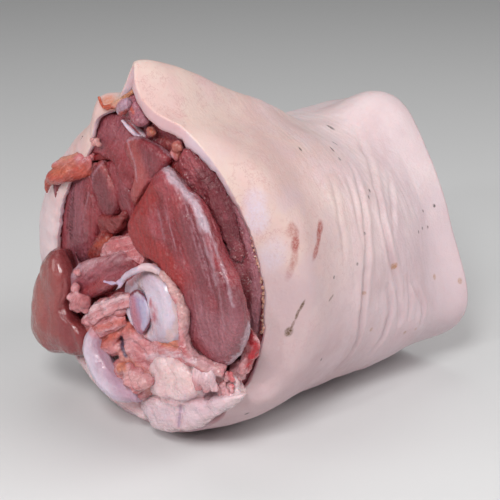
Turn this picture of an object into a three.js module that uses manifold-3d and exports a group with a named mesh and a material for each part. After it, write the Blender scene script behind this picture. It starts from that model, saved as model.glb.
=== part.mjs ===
// A raw pork hock lying on its side: a sleeve of rind filled with muscle, with the opened elbow joint
// at the large end and the sawn shank at the small end.
//
// Millimetres, +Z up. +X runs along the shank from the large cut end to the small sawn end, -Y is the
// side where the large muscle lies. The hock rests on z = 0, and the origin is the middle of its base.
import * as THREE from "three";
import { mergeVertices } from "three/addons/utils/BufferGeometryUtils.js";
import Module from "manifold-3d";

const wasm = await Module();
wasm.setup();

// ---- Driving dimensions -------------------------------------------------------------------------
const LENGTH = 128; // rind, from the large end to the small end
const ORIGIN = [57.9, -1.2, 0]; // middle of the base, measured from the plane of the large end

// Stations along the shank: share of the length, half width to the left (+Y) and right (-Y), height.
const STATIONS = [
  { along: 0.0, left: 59, right: 60, height: 133 },
  { along: 0.12, left: 65, right: 68, height: 128 },
  { along: 0.3, left: 66, right: 64, height: 122 },
  { along: 0.5, left: 60, right: 62, height: 114 },
  { along: 0.7, left: 53, right: 59, height: 103 },
  { along: 0.88, left: 52, right: 50, height: 101 },
  { along: 1.0, left: 46, right: 50, height: 102 },
];
const AXIS_SHARE = 0.47; // the section's centre, as a share of the height
const SQUARENESS = 2.25; // 2 is an ellipse, more is boxier
const PRESSED_FLAT = 0.8; // the rind sinks this far into a flat strip where it rests

// Swellings of the rind. angle 0 is left (+Y), 90 is up; reach is how far each one spreads.
const SWELLINGS = [
  { angle: 102, along: 0.0, reachAngle: 8, reachAlong: 0.39, rise: 15 }, // hood above the large end
  { angle: 109, along: 0.94, reachAngle: 17, reachAlong: 0.14, rise: 12 }, // upper corner, small end
  { angle: 201, along: 1.0, reachAngle: 25, reachAlong: 0.27, rise: 12.5 }, // lower corner, small end
  { angle: 50, along: 0.12, reachAngle: 34, reachAlong: 0.34, rise: -13 }, // flat slope, upper left
];
const CURL_ALONG = 0.13; // the rim turns in over this share of the length
const CURLS = [
  { angle: 30, reach: 61, share: 0.3 },
  { angle: 336, reach: 47, share: 0.08 },
];
const SETBACKS = [
  { angle: 284, reach: 46, back: 7 },
  { angle: 175, reach: 35, back: 11 },
  { angle: 217, reach: 38, back: 7 },
  { angle: 111, reach: 10, back: -7 },
];
const FACE_MIDDLE_SETBACK = 6; // the middle of the large end lies this far behind the rim's foremost point
const RIND_SIDES = 60;

// Rings of the closed surface, from the middle of the large end, over the rind, to the middle of the
// small end: share of the rind's radius, and share of the length.
const RINGS = [
  [0, 0.08], // meat in the middle of the large end
  [0.55, 0.08],
  [0.88, 0.07],
  [0.95, 0.02], // inner edge of the rim
  ...[0, 0.02, 0.055, 0.1, 0.16, 0.24, 0.34, 0.45, 0.56, 0.66, 0.76, 0.85, 0.93].map((along) => [1, along]),
  [1, 1],
  [0.93, 1], // the sawn end: a ring of rind and fat, then meat a little lower
  [0.9, 0.985],
  [0, 0.985],
];

const BONE_GAP = 0.4; // clearance between bone and meat
const WELD = 1e-3; // points closer than this are one point

// ---- Small helpers ------------------------------------------------------------------------------
const radians = THREE.MathUtils.degToRad;

// Shortest way round from one angle to another, in degrees.
function turn(from, to) {
  return THREE.MathUtils.euclideanModulo(from - to + 180, 360) - 180;
}

// A station's value at a share of the length, on a smooth curve through the stations.
function alongShank(key, along) {
  const last = STATIONS.length - 1;
  let i = 0;
  while (i < last - 1 && along > STATIONS[i + 1].along) i += 1;
  const slope = (k) => {
    const a = STATIONS[Math.max(0, k - 1)];
    const b = STATIONS[Math.min(last, k + 1)];
    return (b[key] - a[key]) / (b.along - a.along);
  };
  const from = STATIONS[i];
  const to = STATIONS[i + 1];
  const step = to.along - from.along;
  const u = (along - from.along) / step;
  return (
    (2 * u ** 3 - 3 * u ** 2 + 1) * from[key] +
    (u ** 3 - 2 * u ** 2 + u) * step * slope(i) +
    (-2 * u ** 3 + 3 * u ** 2) * to[key] +
    (u ** 3 - u ** 2) * step * slope(i + 1)
  );
}

// ---- The rind's outer surface -------------------------------------------------------------------
// The point of the rind at an angle round the shank and a share of its length.
function rindPoint(angle, along) {
  const height = alongShank("height", along);
  const middle = height * AXIS_SHARE;
  const c = Math.cos(radians(angle));
  const s = Math.sin(radians(angle));
  const rounding = (Math.abs(c) ** SQUARENESS + Math.abs(s) ** SQUARENESS) ** (-1 / SQUARENESS);
  const y = alongShank(c > 0 ? "left" : "right", along) * c * rounding;
  const z = (s > 0 ? height - middle : middle) * s * rounding;
  let swelling = 0;
  for (const b of SWELLINGS) {
    const round = turn(angle, b.angle) / b.reachAngle;
    swelling += b.rise * Math.exp(-(round ** 2) - ((along - b.along) / b.reachAlong) ** 2);
  }
  const into = Math.min(1, along / CURL_ALONG);
  const curled = 1 - Math.sqrt(1 - (1 - into) ** 2);
  let curl = 0;
  for (const b of CURLS) curl += b.share * Math.exp(-((turn(angle, b.angle) / b.reach) ** 4));
  let setback = 0;
  for (const b of SETBACKS) setback += b.back * Math.exp(-((turn(angle, b.angle) / b.reach) ** 2));
  const grow = (1 + swelling / Math.hypot(y, z)) * (1 - curl * curled);
  return new THREE.Vector3(
    setback + along * (LENGTH - setback),
    y * grow,
    Math.max(0, middle + z * grow - PRESSED_FLAT),
  );
}

// A lathe of the rings, whose points are then moved onto the rind's surface or inside it.
function rindGeometry() {
  const profile = RINGS.map(([radius, along]) => new THREE.Vector2(radius, along));
  const geometry = new THREE.LatheGeometry(profile, RIND_SIDES);
  const points = geometry.attributes.position;
  for (let i = 0; i < points.count; i += 1) {
    const along = points.getY(i);
    const radius = Math.hypot(points.getX(i), points.getZ(i));
    const angle = THREE.MathUtils.radToDeg(Math.atan2(points.getX(i), points.getZ(i)));
    const onAxis = radius < WELD;
    const rim = rindPoint(onAxis ? 90 : angle, along);
    const middle = new THREE.Vector3(rim.x, 0, alongShank("height", along) * AXIS_SHARE);
    if (onAxis) middle.x = along * LENGTH + FACE_MIDDLE_SETBACK * (1 - along);
    const p = middle.lerp(rim, radius);
    points.setXYZ(i, p.x, p.y, p.z);
  }
  return geometry;
}

// ---- Lobes: muscles, fat and sinew on the large cut end -----------------------------------------
// Each lobe is a ball round at, stretched to half sizes [length, width, depth], with a deeper root
// that goes into the meat. Its length stands along Z and its depth along X until lean turns it, in
// degrees, over to +Y. taper widens its upper end, and bend bows its middle to +Y.
const LOBES = [
  { what: "large muscle", at: [0, -39, 72], half: [36, 17, 11], lean: 27, taper: 0.2 },
  { what: "hanging muscle", at: [-2, 32, 41], half: [23, 13, 11], lean: -2, taper: -0.2 },
  { what: "fan muscle", at: [4, -11, 101], half: [14, 8, 7], lean: -14, taper: 0.45 },
  { what: "left muscle", at: [6, 14, 88], half: [12, 6, 5], lean: -3 },
  { what: "its neighbour", at: [5, 1, 91], half: [12, 4, 4], lean: 25 },
  { what: "upper muscle", at: [8, 16, 106], half: [16, 6, 5], lean: -41 },
  { what: "side strip", at: [6, 36, 67], half: [22, 4, 4], lean: -4, bend: 2 },
  { what: "second side strip", at: [6, 28, 71], half: [22, 4, 4], lean: -5, bend: 2 },
  { what: "third side strip", at: [6, 20, 70], half: [16, 4, 4], lean: -5, bend: 2 },
  { what: "middle muscle", at: [9, 14, 70], half: [14, 9, 5], lean: 0 },
  { what: "coarse muscle", at: [8, -35, 97], half: [21, 6, 6], lean: 56, bend: -2 },
  { what: "lining muscle", at: [12, -50, 73], half: [32, 5, 5], lean: 17, bend: -3 },
  { what: "flap over the joint", at: [-4, 5, 60], half: [22, 7, 7], lean: -51, bend: -2 },
  { what: "sinew under the flap", at: [-6, 2, 47], half: [14, 3, 4], lean: -60, taper: 0.3 },
  { what: "fat pad", at: [-4, -32, 31], half: [15, 9, 8], lean: -72, taper: 0.1 },
  { what: "lower fat", at: [0, -33, 18], half: [25, 8, 9], lean: -66, taper: -0.4 },
  { what: "joint fat", at: [-5, -13, 26], half: [6, 6, 5], lean: 0 },
  { what: "ligament", at: [-2, -47, 36], half: [8, 4, 5], lean: 10 },
  { what: "torn strip", at: [6, -50, 39], half: [10, 4, 5], lean: -35 },
  { what: "hanging strip", at: [2, 32, 92], half: [17, 4, 4], lean: -52, taper: 0.35, bend: -2 },
];
const ROOT_DEPTH = 20; // how deep a lobe reaches into the meat
const REST_HEIGHT = 0.6; // lobes stay at least this far above the resting face
const LOBE_SIDES = 14;
const LOBE_RINGS = 9;

function lobeGeometry({ at, half, lean, taper = 0, bend = 0 }, root) {
  const geometry = new THREE.SphereGeometry(1, LOBE_SIDES, LOBE_RINGS);
  const points = geometry.attributes.position;
  for (let i = 0; i < points.count; i += 1) {
    const up = points.getY(i);
    const back = points.getZ(i);
    const swell = 1 + taper * up;
    points.setXYZ(
      i,
      (back > 0 ? root : half[2]) * back * swell,
      half[1] * points.getX(i) * swell + bend * (1 - 2 * up * up),
      half[0] * up,
    );
  }
  geometry.rotateX(radians(-lean)).translate(...at);
  for (let i = 0; i < points.count; i += 1) {
    points.setZ(i, Math.max(REST_HEIGHT, points.getZ(i)));
  }
  return geometry;
}

// ---- Bones --------------------------------------------------------------------------------------
// A bone runs from its head at the opened joint to sawn, [Y, Z] of its middle at the sawn end. waist
// and foot are its radii. The head is a lobe with a scoop taken out, where the upper bone turned.
const BONES = {
  ulna: {
    head: { at: [-2, -22, 56], half: [15, 11, 9], lean: 4 },
    scoop: { at: [-12, -21, 54], half: [9, 5.5, 6], lean: 4 },
    sawn: [0, 65],
    waist: 8,
    foot: 10,
  },
  radius: {
    head: { at: [-3, 2, 27], half: [13, 8, 7], lean: 15 },
    scoop: { at: [-10, -6, 33], half: [7, 4, 6], lean: 10 },
    sawn: [14, 38],
    waist: 9,
    foot: 12,
  },
};
const HEAD_ROOT = 14; // how far a head reaches back over its shaft
const BONE_PROUD = 0.8; // the sawn bone stands this far out of the meat ring
const SHAFT_SIDES = 16;
const SHAFT_RINGS = 5;

// A shaft whose rings stand square to the shank, grown by clearance all round.
function shaftGeometry({ head, sawn, waist, foot }, clearance) {
  const geometry = new THREE.CylinderGeometry(1, 1, 1, SHAFT_SIDES, SHAFT_RINGS);
  const points = geometry.attributes.position;
  const from = head.at[0];
  const to = LENGTH + BONE_PROUD + clearance;
  for (let i = 0; i < points.count; i += 1) {
    const share = points.getY(i) + 0.5;
    const radius = waist + (foot - waist) * share ** 3 + clearance;
    points.setXYZ(
      i,
      THREE.MathUtils.lerp(from, to, share),
      THREE.MathUtils.lerp(head.at[1], sawn[0], share) + radius * points.getZ(i),
      THREE.MathUtils.lerp(head.at[2], sawn[1], share) + radius * points.getX(i),
    );
  }
  return geometry;
}

// ---- Solids -------------------------------------------------------------------------------------
function solidOf(geometry) {
  geometry.deleteAttribute("normal");
  geometry.deleteAttribute("uv");
  const merged = mergeVertices(geometry, WELD);
  return new wasm.Manifold(
    new wasm.Mesh({
      numProp: 3,
      vertProperties: merged.attributes.position.array,
      triVerts: new Uint32Array(merged.index.array),
    }),
  );
}

// The largest body of a solid: loose scraps that a cut leaves are dropped.
function wholePiece(solid) {
  return solid.decompose().reduce((a, b) => (b.volume() > a.volume() ? b : a));
}

function geometryOf(solid) {
  const mesh = solid.getMesh();
  return new THREE.BufferGeometry()
    .setAttribute("position", new THREE.BufferAttribute(mesh.vertProperties, 3))
    .setIndex(new THREE.BufferAttribute(mesh.triVerts, 1))
    .toNonIndexed();
}

function boneSolid(bone, clearance) {
  const grown = { ...bone.head, half: bone.head.half.map((size) => size + clearance) };
  const pared = { ...bone.scoop, half: bone.scoop.half.map((size) => size - clearance) };
  const shaft = solidOf(shaftGeometry(bone, clearance));
  return solidOf(lobeGeometry(grown, HEAD_ROOT + clearance))
    .add(shaft)
    .subtract(solidOf(lobeGeometry(pared, pared.half[2])));
}

function hockSolid() {
  let solid = solidOf(rindGeometry());
  for (const lobe of LOBES) solid = solid.add(solidOf(lobeGeometry(lobe, ROOT_DEPTH)));
  for (const bone of Object.values(BONES)) solid = solid.subtract(boneSolid(bone, BONE_GAP));
  return wholePiece(solid);
}

// ---- The part -----------------------------------------------------------------------------------
function piece(name, solid, colour, roughness) {
  const geometry = geometryOf(solid);
  geometry.computeVertexNormals();
  const mesh = new THREE.Mesh(
    geometry,
    new THREE.MeshStandardMaterial({ color: colour, roughness, metalness: 0 }),
  );
  mesh.name = name;
  return mesh;
}

const group = new THREE.Group();
group.add(piece("hock", hockSolid(), 0xdcbdb4, 0.5));
for (const [name, bone] of Object.entries(BONES)) {
  group.add(piece(name, boneSolid(bone, 0), 0xe6dcd6, 0.35));
}
group.position.set(...ORIGIN.map((size) => -size));

export default group;
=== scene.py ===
# %% [markdown]
# # A raw pork hock
# The hock lies on its side. A sleeve of rind holds the muscles, and the knife has opened the elbow
# joint at the large end. The frame from the workshop gives the solids, and every piece below is made
# over them, in metres, where the solids are.

# %% Load the frame
import math

import bpy
import numpy as np
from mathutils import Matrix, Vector, kdtree, noise


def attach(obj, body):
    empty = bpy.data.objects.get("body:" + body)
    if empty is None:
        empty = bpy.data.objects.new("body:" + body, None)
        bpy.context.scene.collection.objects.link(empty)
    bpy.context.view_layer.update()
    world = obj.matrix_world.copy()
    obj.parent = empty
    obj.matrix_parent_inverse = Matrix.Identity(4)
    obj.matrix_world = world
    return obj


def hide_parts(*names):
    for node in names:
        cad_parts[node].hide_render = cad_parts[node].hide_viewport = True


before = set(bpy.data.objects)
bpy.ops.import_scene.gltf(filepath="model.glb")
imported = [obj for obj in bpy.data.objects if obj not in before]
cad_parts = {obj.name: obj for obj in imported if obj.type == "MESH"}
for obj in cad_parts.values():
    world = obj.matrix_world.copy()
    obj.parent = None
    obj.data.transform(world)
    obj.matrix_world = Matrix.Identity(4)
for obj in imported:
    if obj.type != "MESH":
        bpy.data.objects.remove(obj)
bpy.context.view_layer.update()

print("solids", list(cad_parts))

# %% [markdown]
# ## Measuring in millimetres
# A butcher measures from the cut face: x goes back along the shank from the plane of the large end,
# y goes to the left of the face and z goes up. Blender wants metres from the middle of the base, so
# two small functions change one into the other.

# %% Millimetres and metres
MM = 0.001
FACE_TO_BASE = np.array([57.9, -1.2, 0.0])  # from the plane of the large end to the middle of the base


def metres(places):
    return (np.asarray(places, float) - FACE_TO_BASE) * MM


def stored(layer, name, width):
    """What Blender holds for each vertex, as rows of numbers."""
    flat = np.empty(len(layer) * width, np.float32)
    layer.foreach_get(name, flat)
    return flat.reshape(-1, width)


def corners(piece):
    """A piece's vertices, in millimetres from the cut face."""
    return stored(piece.data.vertices, "co", 3).astype(float) / MM + FACE_TO_BASE


def move_corners(piece, places):
    piece.data.vertices.foreach_set("co", metres(places).astype(np.float32).ravel())
    piece.data.update()


def facings(piece):
    """Which way the surface faces at each vertex."""
    return stored(piece.data.vertices, "normal", 3).astype(float)


def take(*pieces):
    """Selects these pieces and nothing else; the last one is active."""
    bpy.ops.object.select_all(action="DESELECT")
    for piece in pieces:
        piece.select_set(True)
        bpy.context.view_layer.objects.active = piece


def apply(piece, kind, **settings):
    """Adds a modifier and applies it."""
    take(piece)
    modifier = piece.modifiers.new(kind.title(), kind)
    for name, value in settings.items():
        setattr(modifier, name, value)
    bpy.ops.object.modifier_apply(modifier=modifier.name)


def face_outwards(piece):
    """Turns every face outwards and shades the surface smooth."""
    take(piece)
    bpy.ops.object.mode_set(mode="EDIT")
    bpy.ops.mesh.select_all(action="SELECT")
    bpy.ops.mesh.normals_make_consistent(inside=False)
    bpy.ops.object.mode_set(mode="OBJECT")
    bpy.ops.object.shade_smooth()


# %% [markdown]
# ## Uneven surfaces
# Nothing on meat is flat. Soft noise moves the vertices along their normals: large noise for lumps,
# and noise stretched along the fibres for grain. The noise is a fixed function of place, so the same
# script always gives the same meat.

# %% Noise, lumps and grain
def bumps(places, size, seed=0.0):
    """Soft noise from about -1 to 1 at each place; size is a length or one length for each axis."""
    scaled = np.asarray(places) / size + seed
    return np.array([noise.noise(p) for p in scaled.tolist()])


def fibre_axes(lean):
    """Along the fibres and across them; lean tips the fibres from upright over to the left."""
    angle = math.radians(lean)
    along = np.array([0.0, math.sin(angle), math.cos(angle)])
    across = np.array([0.0, math.cos(angle), -math.sin(angle)])
    return along, across


def in_fibres(places, lean):
    along, across = fibre_axes(lean)
    return np.column_stack([places @ along, places @ across, places[:, 0]])


def sculpt(piece, lumps=(), ridges=(), lean=0.0, seed=0.0):
    """lumps and ridges are lists of (size, depth); ridges run along the fibres, 12 times longer."""
    places = corners(piece)
    moved = np.zeros(len(places))
    for size, depth in lumps:
        moved += depth * bumps(places, size, seed)
    fibres = in_fibres(places, lean)
    fibres[:, 1] += 1.5 * bumps(places, 16, seed + 5)  # the fibres wander a little
    for size, depth in ridges:
        moved += depth * (1 - 2 * np.abs(bumps(fibres, np.array([12, 1, 1]) * size, seed + 9)))
    move_corners(piece, places + facings(piece) * moved[:, None])


def keep_grain(piece, lean):
    """Stores the fibre coordinates, which the materials read."""
    grain = piece.data.attributes.new("grain", "FLOAT_VECTOR", "POINT")
    grain.data.foreach_set("vector", in_fibres(corners(piece), lean).astype(np.float32).ravel())


# %% [markdown]
# ## Painting
# Blood, fascia and fat change colour within a piece. Each piece has one paint layer, a colour with a
# strength, and a brush goes along a line of places. The material mixes the paint in.

# %% A brush
SIGHT = np.array([1.0, 1.0, -0.515])  # a millimetre further back, at the same place as seen from in front
TRACED = {  # the plane x on which a piece's brush lines lie, in mm; a pillow adds its own, the rest is 0
    "vessel": -3, "white_sheath": -2, "tip_streak": -2, "fat_beads": -10, "radius_head": -8,
    "joint_tissue": -8, "white_folds": -10, "orange_lump": -10, "white_strand": -13, "fat_mass": -8,
    "ligament": -5, "fat_grains": -2.5, "cream_bead": -1, "rim_fat": 11,
}


def as_traced(piece, places):
    """Where each place is seen on the plane that the piece was traced on, as (y, z)."""
    back = places[:, :1] - TRACED.get(piece.name, 0.0)
    return (places - back * SIGHT)[:, 1:]


def add_paint_layer(piece):
    layer = piece.data.attributes.new("paint", "FLOAT_COLOR", "POINT")
    layer.data.foreach_set("color", np.zeros(len(piece.data.vertices) * 4, np.float32))


def distance_to_line(places, line):
    line = np.atleast_2d(np.asarray(line, float))
    if len(line) == 1:
        return np.linalg.norm(places - line[0], axis=1)
    best = np.full(len(places), np.inf)
    for a, b in zip(line[:-1], line[1:]):
        run = b - a
        share = np.clip((places - a) @ run / (run @ run), 0, 1)
        best = np.minimum(best, np.linalg.norm(places - a - share[:, None] * run, axis=1))
    return best


def paint(piece, colour, line, reach, strength=1.0, ragged=0.35, soft=0.7):
    """Brushes a colour along a line of (y, z) places, reach mm to each side of it.

    ragged makes the edge uneven, and a soft brush fades from its middle.
    """
    layer = piece.data.attributes["paint"]
    places = corners(piece)
    away = distance_to_line(as_traced(piece, places), line)
    grain = stored(piece.data.attributes["grain"].data, "vector", 3) / (3.0, 1.0, 1.0)
    away += ragged * reach * (bumps(grain, reach * 0.7, 3.3) + 0.5 * bumps(grain, reach * 0.25 + 0.3, 6.1))
    weight = np.clip((1 - away / reach) / soft, 0, 1)
    weight = strength * weight**2 * (3 - 2 * weight)
    held = stored(layer.data, "color", 4)
    total = weight + held[:, 3] * (1 - weight)
    share = np.divide(weight, total, out=np.zeros_like(weight), where=total > 0)[:, None]
    held[:, :3] = held[:, :3] * (1 - share) + np.array(colour) * share
    held[:, 3] = total
    layer.data.foreach_set("color", held.ravel())


def press(piece, line, width, depth):
    """Presses a groove along a line into the side that shows. A negative depth raises a ridge."""
    places = corners(piece)
    facing = facings(piece)
    away = distance_to_line(as_traced(piece, places), line) + 0.25 * width * bumps(places, 2.5, 1.7)
    weight = np.exp(-(away / width) ** 2) * np.clip(-2 * facing[:, 0], 0, 1)
    move_corners(piece, places - facing * (depth * weight)[:, None])


# %% [markdown]
# ## Finishes
# Raw meat is moist: light goes in, scatters and comes back red, and a thin film of water lies on
# top. So each finish has subsurface scattering and a coat, and its colour, roughness and bump come
# from noise. The noise for fibres reads the stored grain, so it follows each muscle.

# %% Helpers for materials
def add_node(tree, kind, links=None, **settings):
    """Adds a node. links gives inputs, each a value or an output socket."""
    made = tree.nodes.new("ShaderNode" + kind)
    for name, value in settings.items():
        setattr(made, name, value)
    for key, value in (links or {}).items():
        if isinstance(value, bpy.types.NodeSocket):
            tree.links.new(value, made.inputs[key])
        else:
            made.inputs[key].default_value = value
    return made


def mix(tree, factor, a, b, blend="MIX"):
    """Mixes two colours."""
    made = add_node(tree, "Mix", data_type="RGBA", blend_type=blend)
    for index, value in ((0, factor), (6, a), (7, b)):
        if isinstance(value, bpy.types.NodeSocket):
            tree.links.new(value, made.inputs[index])
        elif index == 0:
            made.inputs[index].default_value = value
        else:
            made.inputs[index].default_value = (*value, 1.0)
    return made.outputs[2]


def span(tree, value, low, high, to_low=0.0, to_high=1.0):
    """Maps low..high to to_low..to_high, softly."""
    links = {"Value": value, "From Min": low, "From Max": high, "To Min": to_low, "To Max": to_high}
    return add_node(tree, "MapRange", links, interpolation_type="SMOOTHSTEP").outputs[0]


def noise_at(tree, where, scale, detail=3.0, roughness=0.55):
    links = {"Vector": where, "Scale": scale, "Detail": detail, "Roughness": roughness}
    return add_node(tree, "TexNoise", links).outputs[0]


def times(tree, a, b):
    return add_node(tree, "Math", {0: a, 1: b}, operation="MULTIPLY").outputs[0]


def plus(tree, a, b):
    return add_node(tree, "Math", {0: a, 1: b}, operation="ADD").outputs[0]


def new_material(name, scatter, scatter_radius, scatter_scale, coat, coat_roughness):
    made = bpy.data.materials.new(name)
    made.use_nodes = True
    tree = made.node_tree
    shader = tree.nodes["Principled BSDF"]
    shader.inputs["Subsurface Weight"].default_value = scatter
    shader.inputs["Subsurface Radius"].default_value = scatter_radius
    shader.inputs["Subsurface Scale"].default_value = scatter_scale
    shader.inputs["Coat Weight"].default_value = coat
    shader.inputs["Coat Roughness"].default_value = coat_roughness
    where = add_node(tree, "TexCoord").outputs["Object"]
    return made, tree, shader, where


def finish_shader(tree, shader, colour, roughness, height, depth):
    tree.links.new(colour, shader.inputs["Base Color"])
    tree.links.new(roughness, shader.inputs["Roughness"])
    bump = add_node(tree, "Bump", {"Height": height, "Distance": depth, "Strength": 0.8})
    tree.links.new(bump.outputs[0], shader.inputs["Normal"])


# %% Meat, fat, sinew and cartilage
BROAD, PUCKERS, MEDIUM, FINE = 75, 240, 330, 1100  # patterns in a metre
ALONG_GRAIN = (0.07, 0.9, 0.9)  # how fast threads change along the fibres and across them
SEAMS = (0.03, 0.28, 0.28)


def flesh(name, dark, light, streak, streak_share, fleck, fleck_share, wet, roughness, depth, scatter=0.2):
    """A moist tissue: two ground colours, streaks and thin seams along the grain, and pale flecks."""
    made, tree, shader, where = new_material(name, scatter, (1.0, 0.35, 0.25), 0.002, wet, 0.12)
    shader.inputs["Specular IOR Level"].default_value = 0.34
    grain = add_node(tree, "Attribute", attribute_name="grain").outputs["Vector"]
    stretched = add_node(tree, "VectorMath", {0: grain, 1: ALONG_GRAIN}, operation="MULTIPLY").outputs[0]
    broad = noise_at(tree, where, BROAD, 4)
    colour = mix(tree, span(tree, broad, 0.34, 0.66), dark, light)
    threads = noise_at(tree, stretched, 1.0, 5, 0.6)
    colour = mix(tree, times(tree, span(tree, threads, 0.5, 0.72), streak_share), colour, streak)
    sparse = add_node(tree, "VectorMath", {0: grain, 1: SEAMS}, operation="MULTIPLY").outputs[0]
    waver = plus(tree, noise_at(tree, sparse, 1.0, 3), -0.5)
    beside = add_node(tree, "Math", {0: waver}, operation="ABSOLUTE").outputs[0]
    colour = mix(tree, times(tree, span(tree, beside, 0.0, 0.014, 0.8, 0.0), streak_share), colour, streak)
    fine = noise_at(tree, where, FINE, 3)
    colour = mix(tree, times(tree, span(tree, fine, 0.56, 0.7), fleck_share), colour, fleck)
    brushed = add_node(tree, "Attribute", attribute_name="paint")
    contrast = span(tree, threads, 0.3, 0.7, 1 - 0.4 * streak_share, 1 + 0.3 * streak_share)
    shade = mix(tree, 1.0, brushed.outputs["Color"], contrast, "MULTIPLY")
    colour = mix(tree, brushed.outputs["Alpha"], colour, shade)
    medium = noise_at(tree, where, MEDIUM, 3)
    dull = span(tree, medium, 0.32, 0.68, roughness - 0.1, roughness + 0.12)
    dull = plus(tree, dull, span(tree, fine, 0.55, 0.7, 0.0, -0.1))
    height = plus(tree, times(tree, threads, 0.7), times(tree, fine, 0.55))
    height = plus(tree, height, times(tree, medium, 0.5))
    puckers = plus(tree, noise_at(tree, where, PUCKERS, 4, 0.6), -0.5)
    puckers = add_node(tree, "Math", {0: puckers}, operation="ABSOLUTE").outputs[0]
    height = plus(tree, height, span(tree, puckers, 0.0, 0.05, -0.12, 0.0))
    finish_shader(tree, shader, colour, dull, height, depth)
    return made


# %% [markdown]
# The colours run from dark to light, then the streaks and the flecks. Freed muscle is dusky red, the
# hanging muscle is smooth and wet, and muscle that was sawn or torn shows its white grains; these
# pale flecks are also a painted highlight for its tiny wet glints. Fat is cream, sinew is pink and
# stringy, and cartilage is smooth and bluish.

# %% The six moist finishes and the bone
meat = flesh("meat", (0.2, 0.018, 0.025), (0.31, 0.05, 0.063), (0.42, 0.14, 0.17), 0.45,
    (0.6, 0.4, 0.42), 0.12, 0.25, 0.24, 0.0011)
meat_wet = flesh("meat_wet", (0.21, 0.035, 0.037), (0.29, 0.065, 0.068), (0.36, 0.12, 0.125), 0.25,
    (0.5, 0.3, 0.32), 0.04, 0.5, 0.22, 0.0006)
# meat_cut: its many pale flecks are grains, and also a painted highlight for tiny wet glints.
meat_cut = flesh("meat_cut", (0.19, 0.026, 0.034), (0.34, 0.085, 0.11), (0.46, 0.18, 0.2), 0.3,
    (0.7, 0.5, 0.5), 0.65, 0.2, 0.24, 0.0012)
fat = flesh("fat", (0.66, 0.42, 0.44), (0.76, 0.57, 0.59), (0.66, 0.33, 0.35), 0.2, (0.75, 0.6, 0.6),
    0.12, 0.35, 0.26, 0.0009, 0.35)
sinew = flesh("sinew", (0.48, 0.13, 0.14), (0.62, 0.29, 0.31), (0.7, 0.48, 0.52), 0.5,
    (0.75, 0.55, 0.55), 0.12, 0.45, 0.2, 0.001, 0.3)
cartilage = flesh("cartilage", (0.48, 0.36, 0.44), (0.6, 0.5, 0.59), (0.55, 0.34, 0.4), 0.15,
    (0.66, 0.55, 0.62), 0.08, 0.2, 0.28, 0.0004, 0.35)
bone = flesh("bone", (0.55, 0.36, 0.33), (0.68, 0.52, 0.47), (0.4, 0.14, 0.13), 0.4, (0.3, 0.06, 0.06),
    0.5, 0.2, 0.45, 0.0006, 0.2)

# %% [markdown]
# ## The rind
# The sleeve of rind is one closed piece: outside, cut edge, inside. A torus has just that
# connection, a ring of rings, so it is the start. Each of its vertices then moves to its place on the
# sleeve, which the same named sizes as the solid's give. The rind is thickest at the hood and under
# the joint, where fat comes with it.

# %% Sizes of the sleeve
LENGTH = 128.0
STATIONS = np.array([  # share of the length, half width to the left and right, height
    (0.0, 59, 60, 133), (0.12, 65, 68, 128), (0.3, 66, 64, 122), (0.5, 60, 62, 114),
    (0.7, 53, 59, 103), (0.88, 52, 50, 101), (1.0, 46, 50, 102),
])
AXIS_SHARE = 0.47
SQUARENESS = 2.25
PRESSED_FLAT = 0.8
SWELLINGS = [  # angle, share of the length, reach in each, rise
    (102, 0.0, 8, 0.39, 15), (109, 0.94, 17, 0.115, 12), (201, 1.0, 25, 0.27, 12.5),
    (50, 0.12, 34, 0.34, -13),
    (79, 0.02, 9, 0.07, 5), (355, 0.05, 13, 0.07, 1.6),  # the white tip, the lower left rim
]
CURL_ALONG = 0.13
CURLS = [(30, 61, 0.3), (336, 47, 0.08)]  # angle, reach, share turned in
SETBACKS = [  # angle, reach, how far back the rim lies
    (284, 46, 7), (175, 35, 11), (217, 38, 7), (111, 10, -7),
    (106, 5, -2), (217, 6, -4.5), (78, 6, -2),
]


def station(column, along):
    """A smooth curve through the stations."""
    at, value = STATIONS[:, 0], STATIONS[:, column]
    slope = np.gradient(value, at)
    slope[1:-1] = (value[2:] - value[:-2]) / (at[2:] - at[:-2])
    i = np.clip(np.searchsorted(at, along, side="right") - 1, 0, len(at) - 2)
    step = at[i + 1] - at[i]
    u = (along - at[i]) / step
    return ((2 * u**3 - 3 * u**2 + 1) * value[i] + (u**3 - 2 * u**2 + u) * step * slope[i]
            + (3 * u**2 - 2 * u**3) * value[i + 1] + (u**3 - u**2) * step * slope[i + 1])


def turn(angle, to):
    return (angle - to + 180) % 360 - 180


def sleeve(angle, along):
    """The rind's outside at an angle round the shank and a share of its length, in millimetres."""
    angle, along = np.broadcast_arrays(np.asarray(angle, float), np.asarray(along, float))
    height = station(3, along)
    middle = height * AXIS_SHARE
    c, s = np.cos(np.radians(angle)), np.sin(np.radians(angle))
    rounding = (np.abs(c) ** SQUARENESS + np.abs(s) ** SQUARENESS) ** (-1 / SQUARENESS)
    y = np.where(c > 0, station(1, along), station(2, along)) * c * rounding
    z = np.where(s > 0, height - middle, middle) * s * rounding
    swelling = sum(rise * np.exp(-(turn(angle, a) / ra) ** 2 - ((along - b) / rb) ** 2)
                   for a, b, ra, rb, rise in SWELLINGS)
    into = np.clip(along / CURL_ALONG, 0, 1)
    curled = 1 - np.sqrt(1 - (1 - into) ** 2)
    curl = sum(share * np.exp(-(turn(angle, a) / reach) ** 4) for a, reach, share in CURLS)
    setback = sum(back * np.exp(-(turn(angle, a) / reach) ** 2) for a, reach, back in SETBACKS)
    grow = (1 + swelling / np.hypot(y, z)) * (1 - curl * curled)
    return np.stack([setback + along * (LENGTH - setback), y * grow,
                     np.maximum(0, middle + z * grow - PRESSED_FLAT)], axis=-1)


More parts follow.
